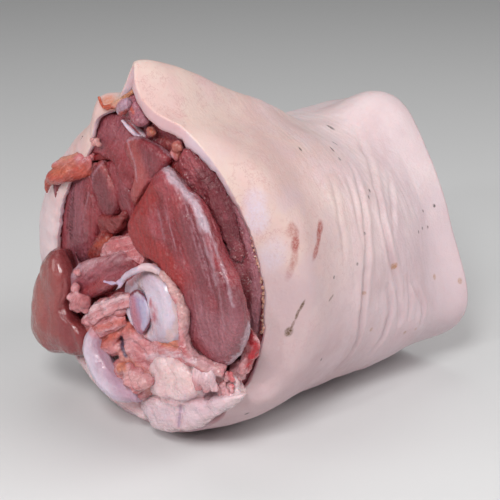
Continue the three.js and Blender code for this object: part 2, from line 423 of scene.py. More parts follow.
def sleeve_normal(angle, along):
    """Which way the rind's outside faces."""
    back = np.clip(along, 0.004, 0.996)
    around = sleeve(angle + 0.5, along) - sleeve(angle - 0.5, along)
    down = sleeve(angle, back + 0.004) - sleeve(angle, back - 0.004)
    normal = np.cross(around, down)
    normal /= np.linalg.norm(normal, axis=-1, keepdims=True) + 1e-9
    outward = sleeve(angle, along) - np.array([LENGTH / 2, 0, 55])
    outward[..., 0] = 0
    return normal * np.sign((normal * outward).sum(-1, keepdims=True))


# %% Build the sleeve
ROUND = 256  # vertices round the shank, the most that the torus operator makes
RIM_THICKNESS = [(0, 2.0), (40, 1.7), (72, 1.7), (90, 3.0), (110, 5.4), (145, 4.4), (170, 2.6), (215, 1.9),
                 (240, 2.5), (270, 4.0), (310, 4.5), (335, 3.0), (360, 2.2)]  # angle, mm
END_THICKNESS = 3.5
outer = np.concatenate([np.linspace(0, 0.08, 20)[:-1], np.linspace(0.08, 0.33, 28)[:-1],
                        np.linspace(0.33, 0.82, 96)[:-1], np.linspace(0.82, 1.0, 24)])
EDGE_STEPS = np.array([0.15, 0.4, 0.65, 0.88])
inner = np.concatenate([np.linspace(0.985, 0.15, 14), np.linspace(0.12, 0.012, 8)])
profile = ([(along, 0.0) for along in outer] + [(1.0, share) for share in EDGE_STEPS]
           + [(along, 1.0) for along in inner] + [(0.0, share) for share in EDGE_STEPS[::-1]])

bpy.ops.object.select_all(action="DESELECT")
bpy.ops.mesh.primitive_torus_add(major_segments=ROUND, minor_segments=len(profile), major_radius=1.0,
    minor_radius=0.25)
rind = bpy.context.object
rind.name = "rind"
start = stored(rind.data.vertices, "co", 3)
angle = np.degrees(np.arctan2(start[:, 1], start[:, 0])) % 360
small = np.arctan2(start[:, 2], np.hypot(start[:, 0], start[:, 1]) - 1.0)
step = np.round(small / (2 * math.pi) * len(profile)).astype(int) % len(profile)
along = np.array([p[0] for p in profile])[step]
share = np.array([p[1] for p in profile])[step]


def uneven(width, offset):
    """Bumps that change round the shank alone, with a width in degrees."""
    return bumps(np.column_stack([angle / width, angle * 0, angle * 0 + offset]), 1.0)


rim = np.interp(angle, *zip(*RIM_THICKNESS))
rim = rim * (1 + 0.35 * uneven(6, 0) + 0.35 * uneven(2.3, 2) + 0.15 * uneven(1.1, 5))
thick = rim + (END_THICKNESS - rim) * np.clip(along, 0, 1)
outside = sleeve(angle, along)
normal = sleeve_normal(angle, along)
places = outside - normal * (share * thick)[:, None]
edge_round = np.where((along == 0) | (along == 1), 0.35 * np.sin(share * math.pi), 0)
places[:, 0] += np.where(along < 0.5, -1, 1) * edge_round
around = np.column_stack([angle, angle * 0, angle * 0 + 4])
scallop = 0.8 * bumps(around, 6) + 0.5 * bumps(around, 2.2)
places[:, 0] += scallop * np.clip(1 - along / 0.04, 0, 1)
places[:, 2] = np.maximum(places[:, 2], 0.0)
move_corners(rind, places)
face_outwards(rind)
print("rind", len(rind.data.polygons), "faces")

# %% [markdown]
# ### Creases
# Where the skin was folded it keeps creases round the shank, and fine wrinkles between them. They
# are pressed into the surface by their distance from a few lines, with a soft shoulder beside each.

# %% Press in the creases
CREASES = [  # width and depth in mm, then (angle, share of the length) along the crease
    (1.15, 1.2, [(134, 0.57), (148, 0.515), (158, 0.475), (176, 0.422), (190, 0.415), (203, 0.44),
                 (216, 0.43)]),
    (1.2, 1.3, [(112, 0.81), (127, 0.73), (140, 0.647), (155, 0.583), (166, 0.573), (181, 0.603),
                (196, 0.63)]),
    (1.0, 0.8, [(136, 0.77), (149, 0.682), (160, 0.623)]),
    (1.1, 1.0, [(180, 0.55), (191, 0.575), (202, 0.57), (212, 0.56)]),
    (0.9, 0.7, [(176, 0.672), (186, 0.675), (195, 0.67)]),
    (1.0, 0.8, [(178, 0.69), (191, 0.75), (199, 0.748)]),
    (1.0, 0.5, [(142, 0.413), (156, 0.36), (168, 0.338)]),
    (0.9, 0.5, [(140, 0.5), (153, 0.455), (169, 0.425)]),
    (1.6, 0.9, [(220, 0.62), (240, 0.6), (258, 0.64)]),
    (1.5, 0.9, [(70, 0.74), (50, 0.66), (28, 0.6), (5, 0.62), (-20, 0.66)]),
    (1.4, 0.7, [(60, 0.55), (35, 0.5), (12, 0.47)]),
    (1.3, 0.6, [(20, 0.78), (-5, 0.8), (-30, 0.76)]),
]
SHOULDER = 0.45  # how high the skin rises beside a crease, as a share of its depth


def crease_relief(places):
    """How far each place on the skin goes in at a crease, or out beside it."""
    relief = np.zeros(len(places))
    for width, depth, marks in CREASES:
        fine = np.linspace(0, 1, 40)
        at = np.linspace(0, 1, len(marks))
        angles = np.interp(fine, at, [m[0] for m in marks])
        alongs = np.interp(fine, at, [m[1] for m in marks])
        line = sleeve(angles, alongs)
        away = distance_to_line(places, line) + 0.5 * bumps(places, 5)
        to_marks = np.linalg.norm(places[:, None, :] - line[None, ::4, :], axis=2)
        nearest = np.argmin(to_marks, axis=1)
        fading = np.sin(np.pi * np.clip((nearest + 0.6) / 10.2, 0, 1)) ** 0.5  # shallow at both ends
        relief -= depth * fading * np.exp(-(away / width) ** 2)
        relief += SHOULDER * depth * fading * np.exp(-((away - 2.3 * width) / (1.3 * width)) ** 2)
    return relief


folded = crease_relief(corners(rind)) * (share == 0)  # the outside alone
waves = 0.9 * bumps(outside, 26, 2) + 0.35 * bumps(outside, 9, 7)
across = np.column_stack([outside[:, 0] / 2.6, angle / 16, outside[:, 2] * 0])
wrinkle_zone = np.clip((along - 0.22) / 0.25, 0, 1) * np.clip((1.0 - along) / 0.12, 0, 1)
wrinkles = 0.16 * wrinkle_zone * (1 - 2 * np.abs(bumps(across, 1.0, 3)))
away_from_edges = np.clip(along / 0.05, 0, 1)
off_the_board = np.clip(outside[:, 2] / 6, 0, 1)
relief = (folded + (waves + wrinkles) * away_from_edges) * off_the_board
places = corners(rind) + normal * relief[:, None]
places[:, 2] = np.maximum(places[:, 2], 0.0)
move_corners(rind, places)
print("creases", len(CREASES))

# %% [markdown]
# ### Skin
# The skin is pale pink with cream and lilac in it, pores and fine lines. The cut edge and the inside
# show white fat. Small marks, such as two red scratches, are soft ellipsoids in the material, so they
# stay sharp however wide the mesh is.

# %% The skin's finish
cut = rind.data.attributes.new("cut", "FLOAT", "POINT")
cut.data.foreach_set("value", np.clip(share * 6, 0, 1).astype(np.float32))

# patterns in a metre, from broad to fine
CLOUDS, PATCHES, VEINS, FOLDS, LINES, SPECKS, PORES, GRIT = 26, 45, 120, 210, 260, 420, 900, 1300
skin, tree, shader, where = new_material("skin", 0.3, (1.0, 0.45, 0.35), 0.003, 0.06, 0.3)
broad = noise_at(tree, where, CLOUDS, 3)
colour = mix(tree, span(tree, broad, 0.38, 0.62), (0.62, 0.425, 0.4), (0.675, 0.505, 0.455))
patch = noise_at(tree, add_node(tree, "VectorMath", {0: where, 1: (3.1, 1.7, 0.4)}).outputs[0], PATCHES, 5)
colour = mix(tree, times(tree, span(tree, patch, 0.5, 0.7), 0.5), colour, (0.64, 0.37, 0.36))
veins = plus(tree, noise_at(tree, where, VEINS, 6, 0.7), -0.5)
veins = add_node(tree, "Math", {0: veins}, operation="ABSOLUTE").outputs[0]
veins = times(tree, span(tree, veins, 0.0, 0.018, 0.7, 0.0), span(tree, patch, 0.42, 0.58, 0.15, 1.0))
colour = mix(tree, veins, colour, (0.52, 0.27, 0.26))
speck = noise_at(tree, where, SPECKS, 4, 0.65)
colour = mix(tree, times(tree, span(tree, speck, 0.55, 0.75), 0.3), colour, (0.54, 0.33, 0.3))
place = add_node(tree, "SeparateXYZ", {0: where})
lilac = (0.72, 0.595, 0.63)
wander = span(tree, patch, 0.3, 0.7, -0.03, 0.03)
low = plus(tree, place.outputs["Z"], wander)
far = plus(tree, place.outputs["X"], wander)
left = plus(tree, place.outputs["Y"], wander)
# Darker towards the bottom of the sleeve: painted shade on the lower skin.
colour = mix(tree, span(tree, low, 0.1, 0.0, 0.0, 0.8), colour, (0.43, 0.255, 0.27))
colour = mix(tree, span(tree, far, -0.04, 0.06, 0.0, 0.7), colour, lilac)
colour = mix(tree, span(tree, low, 0.1, 0.06, 0.0, 0.5), colour, (0.62, 0.47, 0.51))
colour = mix(tree, span(tree, left, 0.02, 0.06, 0.0, 0.6), colour, lilac)

# %% Fine folds round the shank
round_about = add_node(tree, "VectorMath", {0: where, 1: (1.0, 0.13, 0.13)},
    operation="MULTIPLY").outputs[0]
folds = plus(tree, noise_at(tree, round_about, FOLDS, 5, 0.62), -0.5)
folds = add_node(tree, "Math", {0: folds}, operation="ABSOLUTE").outputs[0]
folds = times(tree, span(tree, folds, 0.0, 0.03, 1.0, 0.0), span(tree, far, -0.03, 0.0, 0.1, 1.0))
folds = times(tree, folds, span(tree, far, 0.03, 0.05, 1.0, 0.2))
# The fine folds are a little darker in colour too: painted shade in the creases.
colour = mix(tree, times(tree, folds, 0.06), colour, (0.5, 0.28, 0.28))

# %% [markdown]
# A scratch or a speck is an ellipsoid of colour, laid at its place on the skin and turned along the
# mark. Fine grit breaks up its edge, so it looks rubbed in and not stuck on.

# %% Marks on the skin
grit = span(tree, noise_at(tree, where, GRIT, 4, 0.7), 0.4, 0.6, 0.55, 1.0)
MARK_DEPTH = 5.0  # mm through the skin, so that its waves don't lift it out of a mark


def mark(under, centre, toward, length, width, tint, strength):
    """Mixes in a soft spot: an ellipsoid round centre with its long axis toward another place."""
    run = Vector(toward) - Vector(centre)
    turned = run.to_track_quat("X", "Z").to_euler() if run.length > 0 else (0, 0, 0)
    links = {"Vector": where, "Location": centre, "Rotation": turned,
        "Scale": (length * MM, MARK_DEPTH * MM, width * MM)}
    spot = add_node(tree, "Mapping", links, vector_type="TEXTURE").outputs[0]
    ball = add_node(tree, "TexGradient", {0: spot}, gradient_type="SPHERICAL").outputs[1]
    cover = times(tree, span(tree, ball, 0.0, 0.6), grit)
    return mix(tree, times(tree, cover, strength), under, tint)


RAW_RED, BROWN, TAN, SOOT = (0.34, 0.06, 0.045), (0.12, 0.06, 0.02), (0.42, 0.2, 0.09), (0.05, 0.035, 0.03)
PALE_LILAC = (0.66, 0.56, 0.66)
STREAKS = [  # from, to as (angle, share of the length), width, tint, strength
    ((154, 0.13), (158, 0.116), 1.4, RAW_RED, 0.6), ((158, 0.12), (162, 0.1), 1.7, RAW_RED, 0.85),
    ((162, 0.103), (167, 0.082), 1.7, RAW_RED, 0.45), ((166, 0.082), (171, 0.062), 1.8, RAW_RED, 0.35),
    ((155, 0.275), (158, 0.245), 1.9, RAW_RED, 0.9), ((157, 0.25), (161, 0.215), 1.7, RAW_RED, 0.85),
    ((161, 0.215), (165, 0.165), 1.8, RAW_RED, 0.8),
    ((178, 0.1), (181, 0.086), 0.8, BROWN, 1.0), ((181, 0.083), (184, 0.076), 0.7, BROWN, 0.9),
    ((185, 0.072), (187, 0.067), 0.7, BROWN, 0.8), ((187.5, 0.064), (190, 0.058), 1.9, BROWN, 1.0),
    ((179, 0.26), (180, 0.233), 0.8, BROWN, 0.7), ((171, 0.6), (173, 0.588), 1.4, TAN, 0.9),
]
SPOTS = [  # angle, share of the length, reach, tint, strength
    (182, 0.85, 1.5, TAN, 0.7), (187, 0.97, 1.6, TAN, 0.7), (181, 0.425, 1.1, TAN, 0.6),
    (198, 0.495, 1.2, TAN, 0.6), (202, 0.672, 1.1, TAN, 0.6), (201, 0.723, 1.0, TAN, 0.5),
    (106, 0.745, 0.95, SOOT, 0.95), (119, 0.635, 0.85, SOOT, 0.85), (126, 0.55, 1.05, SOOT, 0.95),
    (131, 0.537, 0.75, SOOT, 0.85), (129, 0.385, 0.85, SOOT, 0.85), (146, 0.56, 0.85, SOOT, 0.85),
    (143, 0.59, 0.75, SOOT, 0.85), (160, 0.47, 0.85, SOOT, 0.75), (156, 0.943, 0.95, SOOT, 0.95),
    (156, 0.88, 0.75, SOOT, 0.85), (162, 0.805, 0.85, SOOT, 0.85), (162, 0.843, 0.85, SOOT, 0.85),
    (163, 0.883, 0.75, SOOT, 0.85), (170, 0.393, 0.75, SOOT, 0.85), (173, 0.268, 0.85, SOOT, 0.85),
    (204, 0.253, 0.85, SOOT, 0.75), (224, 0.06, 0.95, SOOT, 0.85),
    (154, 0.03, 7.0, PALE_LILAC, 0.7), (148, 0.05, 6.0, PALE_LILAC, 0.6), (164, 0.04, 8.0, PALE_LILAC, 0.5),
]

# %% Lay the marks
for start_at, end_at, width, tint, strength in STREAKS:
    a, b = metres(sleeve(*start_at)), metres(sleeve(*end_at))
    reach = np.linalg.norm(b - a) / MM * 0.75 + 0.5
    colour = mark(colour, tuple((a + b) / 2), tuple(b), reach, width, tint, strength)
for spot_angle, spot_along, reach, tint, strength in SPOTS:
    spot_place = tuple(metres(sleeve(spot_angle, spot_along)))
    colour = mark(colour, spot_place, spot_place, reach, reach, tint, strength)

# %% The cut edge, the stain on the hood and the surface
edge = add_node(tree, "Attribute", attribute_name="cut").outputs["Fac"]
fat_colour = mix(tree, span(tree, patch, 0.4, 0.6), (0.6, 0.46, 0.52), (0.6, 0.38, 0.4))
colour = mix(tree, edge, colour, fat_colour)
STAINS = [  # from, to on the cut face, width, tint
    ((0, 8, 124.5), (0, 2, 123.5), 4.0, (0.55, 0.16, 0.07)),
    ((0, 3, 122.8), (0, -3, 124.5), 3.5, (0.58, 0.24, 0.1)),
]
for stain_from, stain_to, width, tint in STAINS:
    a, b = metres(stain_from), metres(stain_to)
    colour = mark(colour, tuple((a + b) / 2), tuple(b), 5.0, width, tint, 0.75)
pores = add_node(tree, "TexVoronoi", {"Vector": where, "Scale": PORES}).outputs["Distance"]
lines = noise_at(tree, where, LINES, 6, 0.65)
height = plus(tree, times(tree, pores, 0.3), times(tree, lines, 0.8))
height = plus(tree, height, times(tree, folds, -0.12))
dull = span(tree, lines, 0.3, 0.7, 0.42, 0.6)
finish_shader(tree, shader, colour, dull, height, 0.0003)
rind.data.materials.append(skin)
print("marks", len(STREAKS) + len(SPOTS) + len(STAINS))

# %% [markdown]
# ## Muscles
# A muscle that the knife has freed is a pillow: an outline on the face, domed towards us and rooted
# behind. By hand that is a circle pulled onto the outline, then extruded and scaled ring by ring to a
# pole, forward for the crown and backward for the root. A voxel remesh makes the mesh even, and then
# it is sculpted.

# %% A pillow from an outline
FORWARD = np.array([-1.0, -0.5, 0.26])  # crowns lean a little towards us
BACKWARD = np.array([1.0, 0.85, -0.44])  # roots go back behind them
OUTLINE_CORNERS = 72
# the rings of a crown or a root, each as its share of the outline and its share of the height
ROUND_CROWN = [(0.965, 0.34), (0.88, 0.64), (0.72, 0.84), (0.48, 0.95), (0.22, 1.0)]
FLAT_CROWN = [(0.985, 0.3), (0.95, 0.62), (0.88, 0.84), (0.7, 0.95), (0.4, 0.99), (0.2, 1.0)]
ROOT = [(0.98, 0.25), (0.88, 0.7), (0.6, 1.0)]


def closed_line(points, count):
    """count even steps round a smooth closed curve through the points."""
    points = np.asarray(points, float)
    dense = []
    for a, b, c, d in zip(np.roll(points, 1, 0), points, np.roll(points, -1, 0), np.roll(points, -2, 0)):
        for t in np.linspace(0, 1, 24, endpoint=False):
            dense.append(0.5 * (2 * b + (c - a) * t + (2 * a - 5 * b + 4 * c - d) * t**2
                                + (3 * b - a - 3 * c + d) * t**3))
    dense = np.array(dense + dense[:1])
    run = np.concatenate([[0], np.cumsum(np.linalg.norm(np.diff(dense, axis=0), axis=1))])
    even = np.linspace(0, run[-1], count, endpoint=False)
    return np.column_stack([np.interp(even, run, dense[:, k]) for k in (0, 1)])


def close_to_pole(steps, reach, middle):
    """Extrudes the selected ring by steps of (share of outline, share of reach), then closes it."""
    held_share, held_reach = 1.0, 0.0
    for share, forward in steps:
        move = reach * (forward - held_reach) * MM
        bpy.ops.mesh.extrude_region_move(TRANSFORM_OT_translate={"value": tuple(move)})
        scale = share / held_share
        centre = middle + reach * forward * MM
        bpy.ops.transform.resize(value=(scale, scale, scale), center_override=tuple(centre))
        held_share, held_reach = share, forward
    bpy.ops.mesh.merge(type="CENTER")


def pillow(name, outline, traced, at, dome, root, slope=(0, 0), crown=ROUND_CROWN, facing=-1):
    """outline is (y, z) on the plane x = traced; the piece's rim lies behind it at x = at.

    The piece rises by dome in front of its rim, and its root goes in behind it. slope tips the rim.
    """
    bpy.ops.object.select_all(action="DESELECT")
    bpy.ops.mesh.primitive_circle_add(vertices=OUTLINE_CORNERS, radius=0.01, fill_type="NOTHING")
    piece = bpy.context.object
    piece.name = name
    TRACED[name] = traced
    line = closed_line(outline, OUTLINE_CORNERS)
    centre = line.mean(axis=0)
    back = at - traced + (line - centre) @ np.array(slope, float)
    places = np.column_stack([np.full(len(line), float(traced)), line]) + back[:, None] * SIGHT
    move_corners(piece, places)
    middle = metres(places.mean(axis=0))
    outward = FORWARD * dome if facing < 0 else np.array([dome, 0, 0])
    inward = BACKWARD * root if facing < 0 else np.array([-root, 0, 0])
    bpy.ops.object.mode_set(mode="EDIT")
    bpy.ops.mesh.select_mode(type="VERT")
    bpy.ops.mesh.select_all(action="SELECT")
    close_to_pole(crown, outward, middle)
    bpy.ops.mesh.select_all(action="DESELECT")
    bpy.ops.mesh.select_non_manifold()
    close_to_pole(ROOT, inward, middle)
    bpy.ops.object.mode_set(mode="OBJECT")
    face_outwards(piece)
    return piece


# %% [markdown]
# Sinew comes as strands, and torn fat as small balls. A strand is a curve with a round bevel, made a
# mesh, and a ball is a stretched sphere. Joined pieces melt into one another in the remesh.

# %% Strands, balls and joining
def remesh(piece, voxel, smooth=4):
    """Gives the piece one even, closed skin."""
    apply(piece, "REMESH", mode="VOXEL", voxel_size=voxel * MM, use_smooth_shade=True)
    if smooth:
        apply(piece, "SMOOTH", factor=0.5, iterations=smooth)
    take(piece)
    bpy.ops.object.shade_smooth()


def strand(name, spine, radii):
    """A round strip along a smooth curve through the places in spine."""
    bpy.ops.object.select_all(action="DESELECT")
    bpy.ops.curve.primitive_bezier_curve_add()
    path = bpy.context.object
    path.name = name
    bpy.ops.object.mode_set(mode="EDIT")
    bpy.ops.curve.select_all(action="SELECT")
    if len(spine) > 2:
        bpy.ops.curve.subdivide(number_cuts=len(spine) - 2)
    bpy.ops.object.mode_set(mode="OBJECT")
    for point, place, radius in zip(path.data.splines[0].bezier_points, metres(spine), radii):
        point.co = place
        point.radius = radius
    for point in path.data.splines[0].bezier_points:
        point.handle_left_type = point.handle_right_type = "AUTO"
    path.data.bevel_depth = MM
    path.data.bevel_resolution = 3
    path.data.resolution_u = 10
    path.data.use_fill_caps = True
    bpy.ops.object.convert(target="MESH")
    return bpy.context.object


def ball(name, centre, half):
    """A round lump, stretched to three half sizes."""
    bpy.ops.object.select_all(action="DESELECT")
    bpy.ops.mesh.primitive_ico_sphere_add(subdivisions=3, radius=1.0)
    piece = bpy.context.object
    piece.name = name
    move_corners(piece, stored(piece.data.vertices, "co", 3) * np.array(half) + np.array(centre))
    return piece


def several(make, shapes):
    """Makes a part of each shape; make is pillow, strand or ball."""
    return [make(f"part_{k}", *shape) for k, shape in enumerate(shapes)]


def join(name, *pieces):
    take(*pieces)
    bpy.ops.object.join()
    made = bpy.context.object
    made.name = name
    return made


def cluster(name, flatness, lumps):
    """Round lumps as one piece; each has a place and a radius."""
    return join(name, *several(ball, [(place, (r, r, r * flatness)) for place, r in lumps]))


# %% Dress a piece
def dress(piece, material, slot, *nodes):
    """Gives the piece its finish and its body, and hides the solid of the node that it stands for."""
    add_paint_layer(piece)
    piece.data.materials.clear()
    piece.data.materials.append(material)
    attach(piece, "root")
    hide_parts(*(nodes or ("hock",)))


dress(rind, skin, "rind")


# %% [markdown]
# A muscle's root may not come out through the skin. The sleeve is sampled into a search tree, and any
# vertex that the rind should cover is moved back below it.

# %% Keep pieces under the rind
grid_angle, grid_along = np.meshgrid(np.arange(0, 360, 2.0), np.linspace(0, 1, 81))
COVER = sleeve(grid_angle.ravel(), grid_along.ravel())
COVER_NORMAL = sleeve_normal(grid_angle.ravel(), grid_along.ravel())
cover_tree = kdtree.KDTree(len(COVER))
for index, place in enumerate(COVER):
    cover_tree.insert(place, index)
cover_tree.balance()

HOOD_FROM, HOOD_TO = 75, 215  # angles between which the rind stands out over the meat
at_hood = (grid_angle.ravel() > HOOD_FROM) & (grid_angle.ravel() < HOOD_TO)
COVER_DEPTH = np.where(at_hood, np.interp(grid_angle.ravel(), *zip(*RIM_THICKNESS)), 1.9)
COVER_FRONT = COVER[:, 0] - np.where(at_hood, 6.0, 1.0)
COVER_REACH = 14.0


def tuck(piece):
    """Moves vertices below the rind's outside, and above the board."""
    places = corners(piece)
    for index, place in enumerate(places):
        _, nearest, distance = cover_tree.find(place)
        gap = (place - COVER[nearest]) @ COVER_NORMAL[nearest] + COVER_DEPTH[nearest]
        if gap > 0 and distance < COVER_REACH and place[0] > COVER_FRONT[nearest]:
            places[index] -= COVER_NORMAL[nearest] * gap
    places[:, 2] = np.maximum(places[:, 2], 0.1)
    move_corners(piece, places)


# %% Finish a piece
def finish_piece(piece, material, slot, voxel, smooth, lumps=(), ridges=(), lean=0, seed=0, node="hock",
                 under=True):
    """Remeshes, sculpts and dresses a piece; under keeps it below the rind.

    voxel is the mesh's width in mm, and node is what the piece stands for.
    """
    remesh(piece, voxel, smooth)
    sculpt(piece, lumps, ridges, lean, seed)
    if under:
        tuck(piece)
    keep_grain(piece, lean)
    dress(piece, material, slot, node)
    print(piece.name, len(piece.data.polygons), "faces")
    return piece


def muscle(name, outline, traced, at, dome, root, lean, seed, material=meat, voxel=0.5,
           lumps=((12, 1.0), (5, 0.5), (2.2, 0.14)), ridges=((1.3, 0.2), (0.6, 0.08)), slope=(0, 0),
           crown=FLAT_CROWN):
    piece = pillow(name, outline, traced, at, dome, root, slope, crown)
    return finish_piece(piece, material, "meat", voxel, 4, lumps, ridges, lean, seed)


def tissue(name, outline, traced, at, dome, root, lean, seed, material=sinew, voxel=0.45,
           lumps=((4, 0.8), (1.7, 0.35)), ridges=((0.8, 0.1),), slope=(0, 0), crown=ROUND_CROWN):
    piece = pillow(name, outline, traced, at, dome, root, slope, crown)
    return finish_piece(piece, material, "fat", voxel, 3, lumps, ridges, lean, seed)


# %% [markdown]
# ## The core
# Behind the freed muscles the sleeve is full. One closed core lies just inside the rind, with a
# hollowed front of dark wet meat and a flat sawn back, so no gap shows between the pieces.

# %% Build the core
CORE_DEPTH = 2.6  # below the rind's outside
FRONT_MIDDLE = 9.0  # x of the core's front in the middle of the face
CORE_START = 0.045  # share of the length at which it meets the rind
BED = [  # y, z, reach, x: where the core rises to carry the joint and the fat
    (-22, 52, 17, -4), (-38, 36, 15, -2), (-8, 38, 14, -4), (0, 26, 13, -1), (-40, 25, 14, 2),
    (-20, 18, 12, 3), (26, 45, 16, 0), (-40, 78, 22, 3), (-10, 68, 9, 3), (3, 92, 20, 8),
]
BACK_X = 125.5
bpy.ops.object.select_all(action="DESELECT")
bpy.ops.mesh.primitive_uv_sphere_add(segments=220, ring_count=150, radius=1.0)
core = bpy.context.object
core.name = "core"
ballpoints = stored(core.data.vertices, "co", 3)
core_angle = np.degrees(np.arctan2(ballpoints[:, 1], ballpoints[:, 0])) % 360
down = np.degrees(np.arccos(np.clip(ballpoints[:, 2], -1, 1))) / 180  # 0 at the front pole
FRONT_SHARE, BACK_SHARE = 0.45, 0.75
front = down < FRONT_SHARE
back = down > BACK_SHARE

# %% Shape the core
radius = np.where(front, down / FRONT_SHARE, np.where(back, (1 - down) / (1 - BACK_SHARE), 1.0))
wall = np.clip((down - FRONT_SHARE) / (BACK_SHARE - FRONT_SHARE), 0, 1)
core_along = CORE_START + wall * (BACK_X / LENGTH - CORE_START)
surface = sleeve(core_angle, core_along) - CORE_DEPTH * sleeve_normal(core_angle, core_along)
axis = np.column_stack([surface[:, 0], surface[:, 0] * 0, station(3, core_along) * AXIS_SHARE])
places = axis + (surface - axis) * radius[:, None]
rim_x = sleeve(core_angle, CORE_START)[:, 0]
front_x = FRONT_MIDDLE + (rim_x - FRONT_MIDDLE) * radius**2
pulls = []
for y, z, reach, x in BED:
    pulls.append((x, np.exp(-((places[:, 1] - y) ** 2 + (places[:, 2] - z) ** 2) / reach**2)))
held = np.maximum(1.0, sum(pull for _, pull in pulls))
front_x += sum((x - front_x) * pull for x, pull in pulls) / held * np.clip((1 - radius) * 5, 0, 1)
places[:, 0] = np.where(front, front_x, places[:, 0])
places[:, 0] = np.where(back, BACK_X, places[:, 0])
places[:, 2] = np.maximum(places[:, 2], 1.5)
move_corners(core, places)
face_outwards(core)
places = corners(core)
lumpy = np.where(front, np.clip((1 - radius) * 8, 0, 1), 0)
places[:, 0] += lumpy * (1.4 * bumps(places, 8) + 0.7 * bumps(places, 3))
move_corners(core, places)
keep_grain(core, -5)
dress(core, meat_cut, "meat")
paint(core, (0.26, 0.02, 0.025), [(0, 55), (0, 30), (-40, 30)], 22, 0.7)
print("core", len(core.data.polygons), "faces")

# %% [markdown]
# ## The muscles of the cut face
# The outlines are the muscles' own shapes on the face, y to the left and z up, in millimetres. The
# brush has a small palette: reds for wet and bloody meat, a near-black red for painted shade in deep
# gaps, pale tones for sheath and fascia, oranges for stained fat.

# %% The palette
RED = (0.3, 0.022, 0.02)
# a near-black red for painted shade
DEEP_SHADE = (0.08, 0.006, 0.01)
MAUVE = (0.17, 0.045, 0.06)
DUSKY = (0.25, 0.075, 0.095)
SHEATH = (0.52, 0.37, 0.43)
PALE = (0.4, 0.2, 0.24)
WHITE = (0.66, 0.52, 0.58)
ORANGE = (0.42, 0.07, 0.035)
CREAM = (0.66, 0.42, 0.36)
ROSE = (0.5, 0.17, 0.18)
BLUE_GREY = (0.29, 0.21, 0.35)

# %% [markdown]
# The large muscle on the right was cut across. It bulges forward, its fibres show as long shallow
# grooves, and a white sheath still clings to its upper edge.

# %% The large muscle
big = muscle("big_muscle", [(-30, 109), (-21, 100), (-13, 89), (-10, 83), (-16, 75), (-26, 73),
        (-39, 66), (-38, 56), (-43, 47), (-56, 43), (-66, 52), (-70, 63), (-65, 76), (-57, 88),
        (-50, 99), (-41, 104)],
    traced=-4, at=-2, dome=7, root=16, lean=18, seed=1,
    lumps=((12, 1.0), (5, 0.5), (2.2, 0.2), (1.2, 0.12)))
press(big, [(-38, 99), (-47, 84), (-53, 66), (-54, 52)], 1.6, 0.9)
press(big, [(-30, 100), (-36, 84), (-46, 66), (-50, 52)], 1.3, 0.5)
press(big, [(-45, 99), (-55, 84), (-61, 68)], 1.2, 0.7)
press(big, [(-24, 96), (-27, 82), (-38, 72)], 2.0, 0.6)
paint(big, RED, [(-22, 98), (-15, 88), (-14, 80), (-26, 75), (-38, 68)], 8, 0.8)
paint(big, RED, [(-34, 96), (-42, 80)], 4, 0.3)
paint(big, DUSKY, [(-46, 62), (-56, 50), (-60, 60)], 15, 0.7)
paint(big, (0.34, 0.135, 0.165), [(-48, 56), (-57, 50), (-62, 64)], 9, 0.55)
paint(big, MAUVE, [(-40, 90), (-50, 74), (-62, 70)], 8, 0.6)
paint(big, SHEATH, [(-30, 108), (-37, 103.5), (-44, 99), (-49, 92)], 3.6, 1.0, 0.5, 0.8)
paint(big, SHEATH, [(-44, 96), (-50, 84), (-54, 74)], 2.2, 0.35, 0.9, 1.0)
paint(big, SHEATH, [(-51, 91), (-57, 80), (-62, 68)], 1.2, 0.45, 0.9)
paint(big, SHEATH, [(-70, 62), (-66, 51), (-60, 45)], 2.2, 0.8, 0.6)
for line in ([(-38, 100), (-46, 86), (-52, 70)], [(-30, 92), (-35, 80)], [(-42, 90), (-49, 74)],
             [(-46, 92), (-55, 74), (-58, 58)], [(-26, 92), (-29, 82)]):
    paint(big, PALE, line, 0.6, 0.45, 0.7)

# %% [markdown]
# Under the hood lies coarse, granular muscle, and a thin strip of muscle lines the right rim. Lumps
# of a few millimetres and pale flecks in the finish give the grains; the flecks are also a painted
# highlight for tiny glints. They lie deep, so the cut edge of the rind shows over them.

# %% The granular muscle and the lining
coarse = muscle("coarse_muscle", [(-23, 108), (-28, 112.5), (-36, 115.5), (-42, 114.5), (-48, 110),
        (-53, 102), (-58, 93), (-61, 86), (-59, 80), (-54, 86), (-48, 94), (-39, 100), (-29, 103)],
    traced=2, at=5.5, dome=4.4, root=14, lean=40, seed=2, material=meat_cut,
    lumps=((9, 0.9), (2.2, 0.6), (1.1, 0.35)), ridges=(), voxel=0.4, slope=(0, -0.17))
paint(coarse, RED, [(-24, 108), (-30, 105)], 3.5, 0.5)
paint(coarse, (0.38, 0.09, 0.105), [(-30, 111), (-38, 108), (-44, 101)], 5, 0.6)
# These two darken the right half towards the rim: painted shade of the hood's rim.
paint(coarse, (0.12, 0.02, 0.028), [(-46, 112), (-53, 102), (-59, 90)], 5, 0.7)
paint(coarse, (0.13, 0.018, 0.026), [(-42, 105), (-47, 99), (-51, 91), (-53, 85)], 5, 0.75)
lining = muscle("lining_muscle", [(-46, 112), (-51, 108), (-57, 98), (-62, 89), (-65, 80), (-66, 72),
        (-65.5, 61), (-63, 51), (-60, 43), (-57, 50), (-59, 60), (-56, 70), (-52, 78), (-48, 86),
        (-44, 94), (-42, 102)],
    traced=6, at=12, dome=1.6, root=12, lean=17, seed=3, material=meat_cut,
    lumps=((9, 0.7), (2.2, 0.45), (1.1, 0.2)), ridges=((0.9, 0.15),), slope=(-0.25, -0.04))
paint(lining, (0.45, 0.19, 0.23), [(-58, 98), (-62, 90), (-65, 76), (-64, 50)], 7, 0.8)

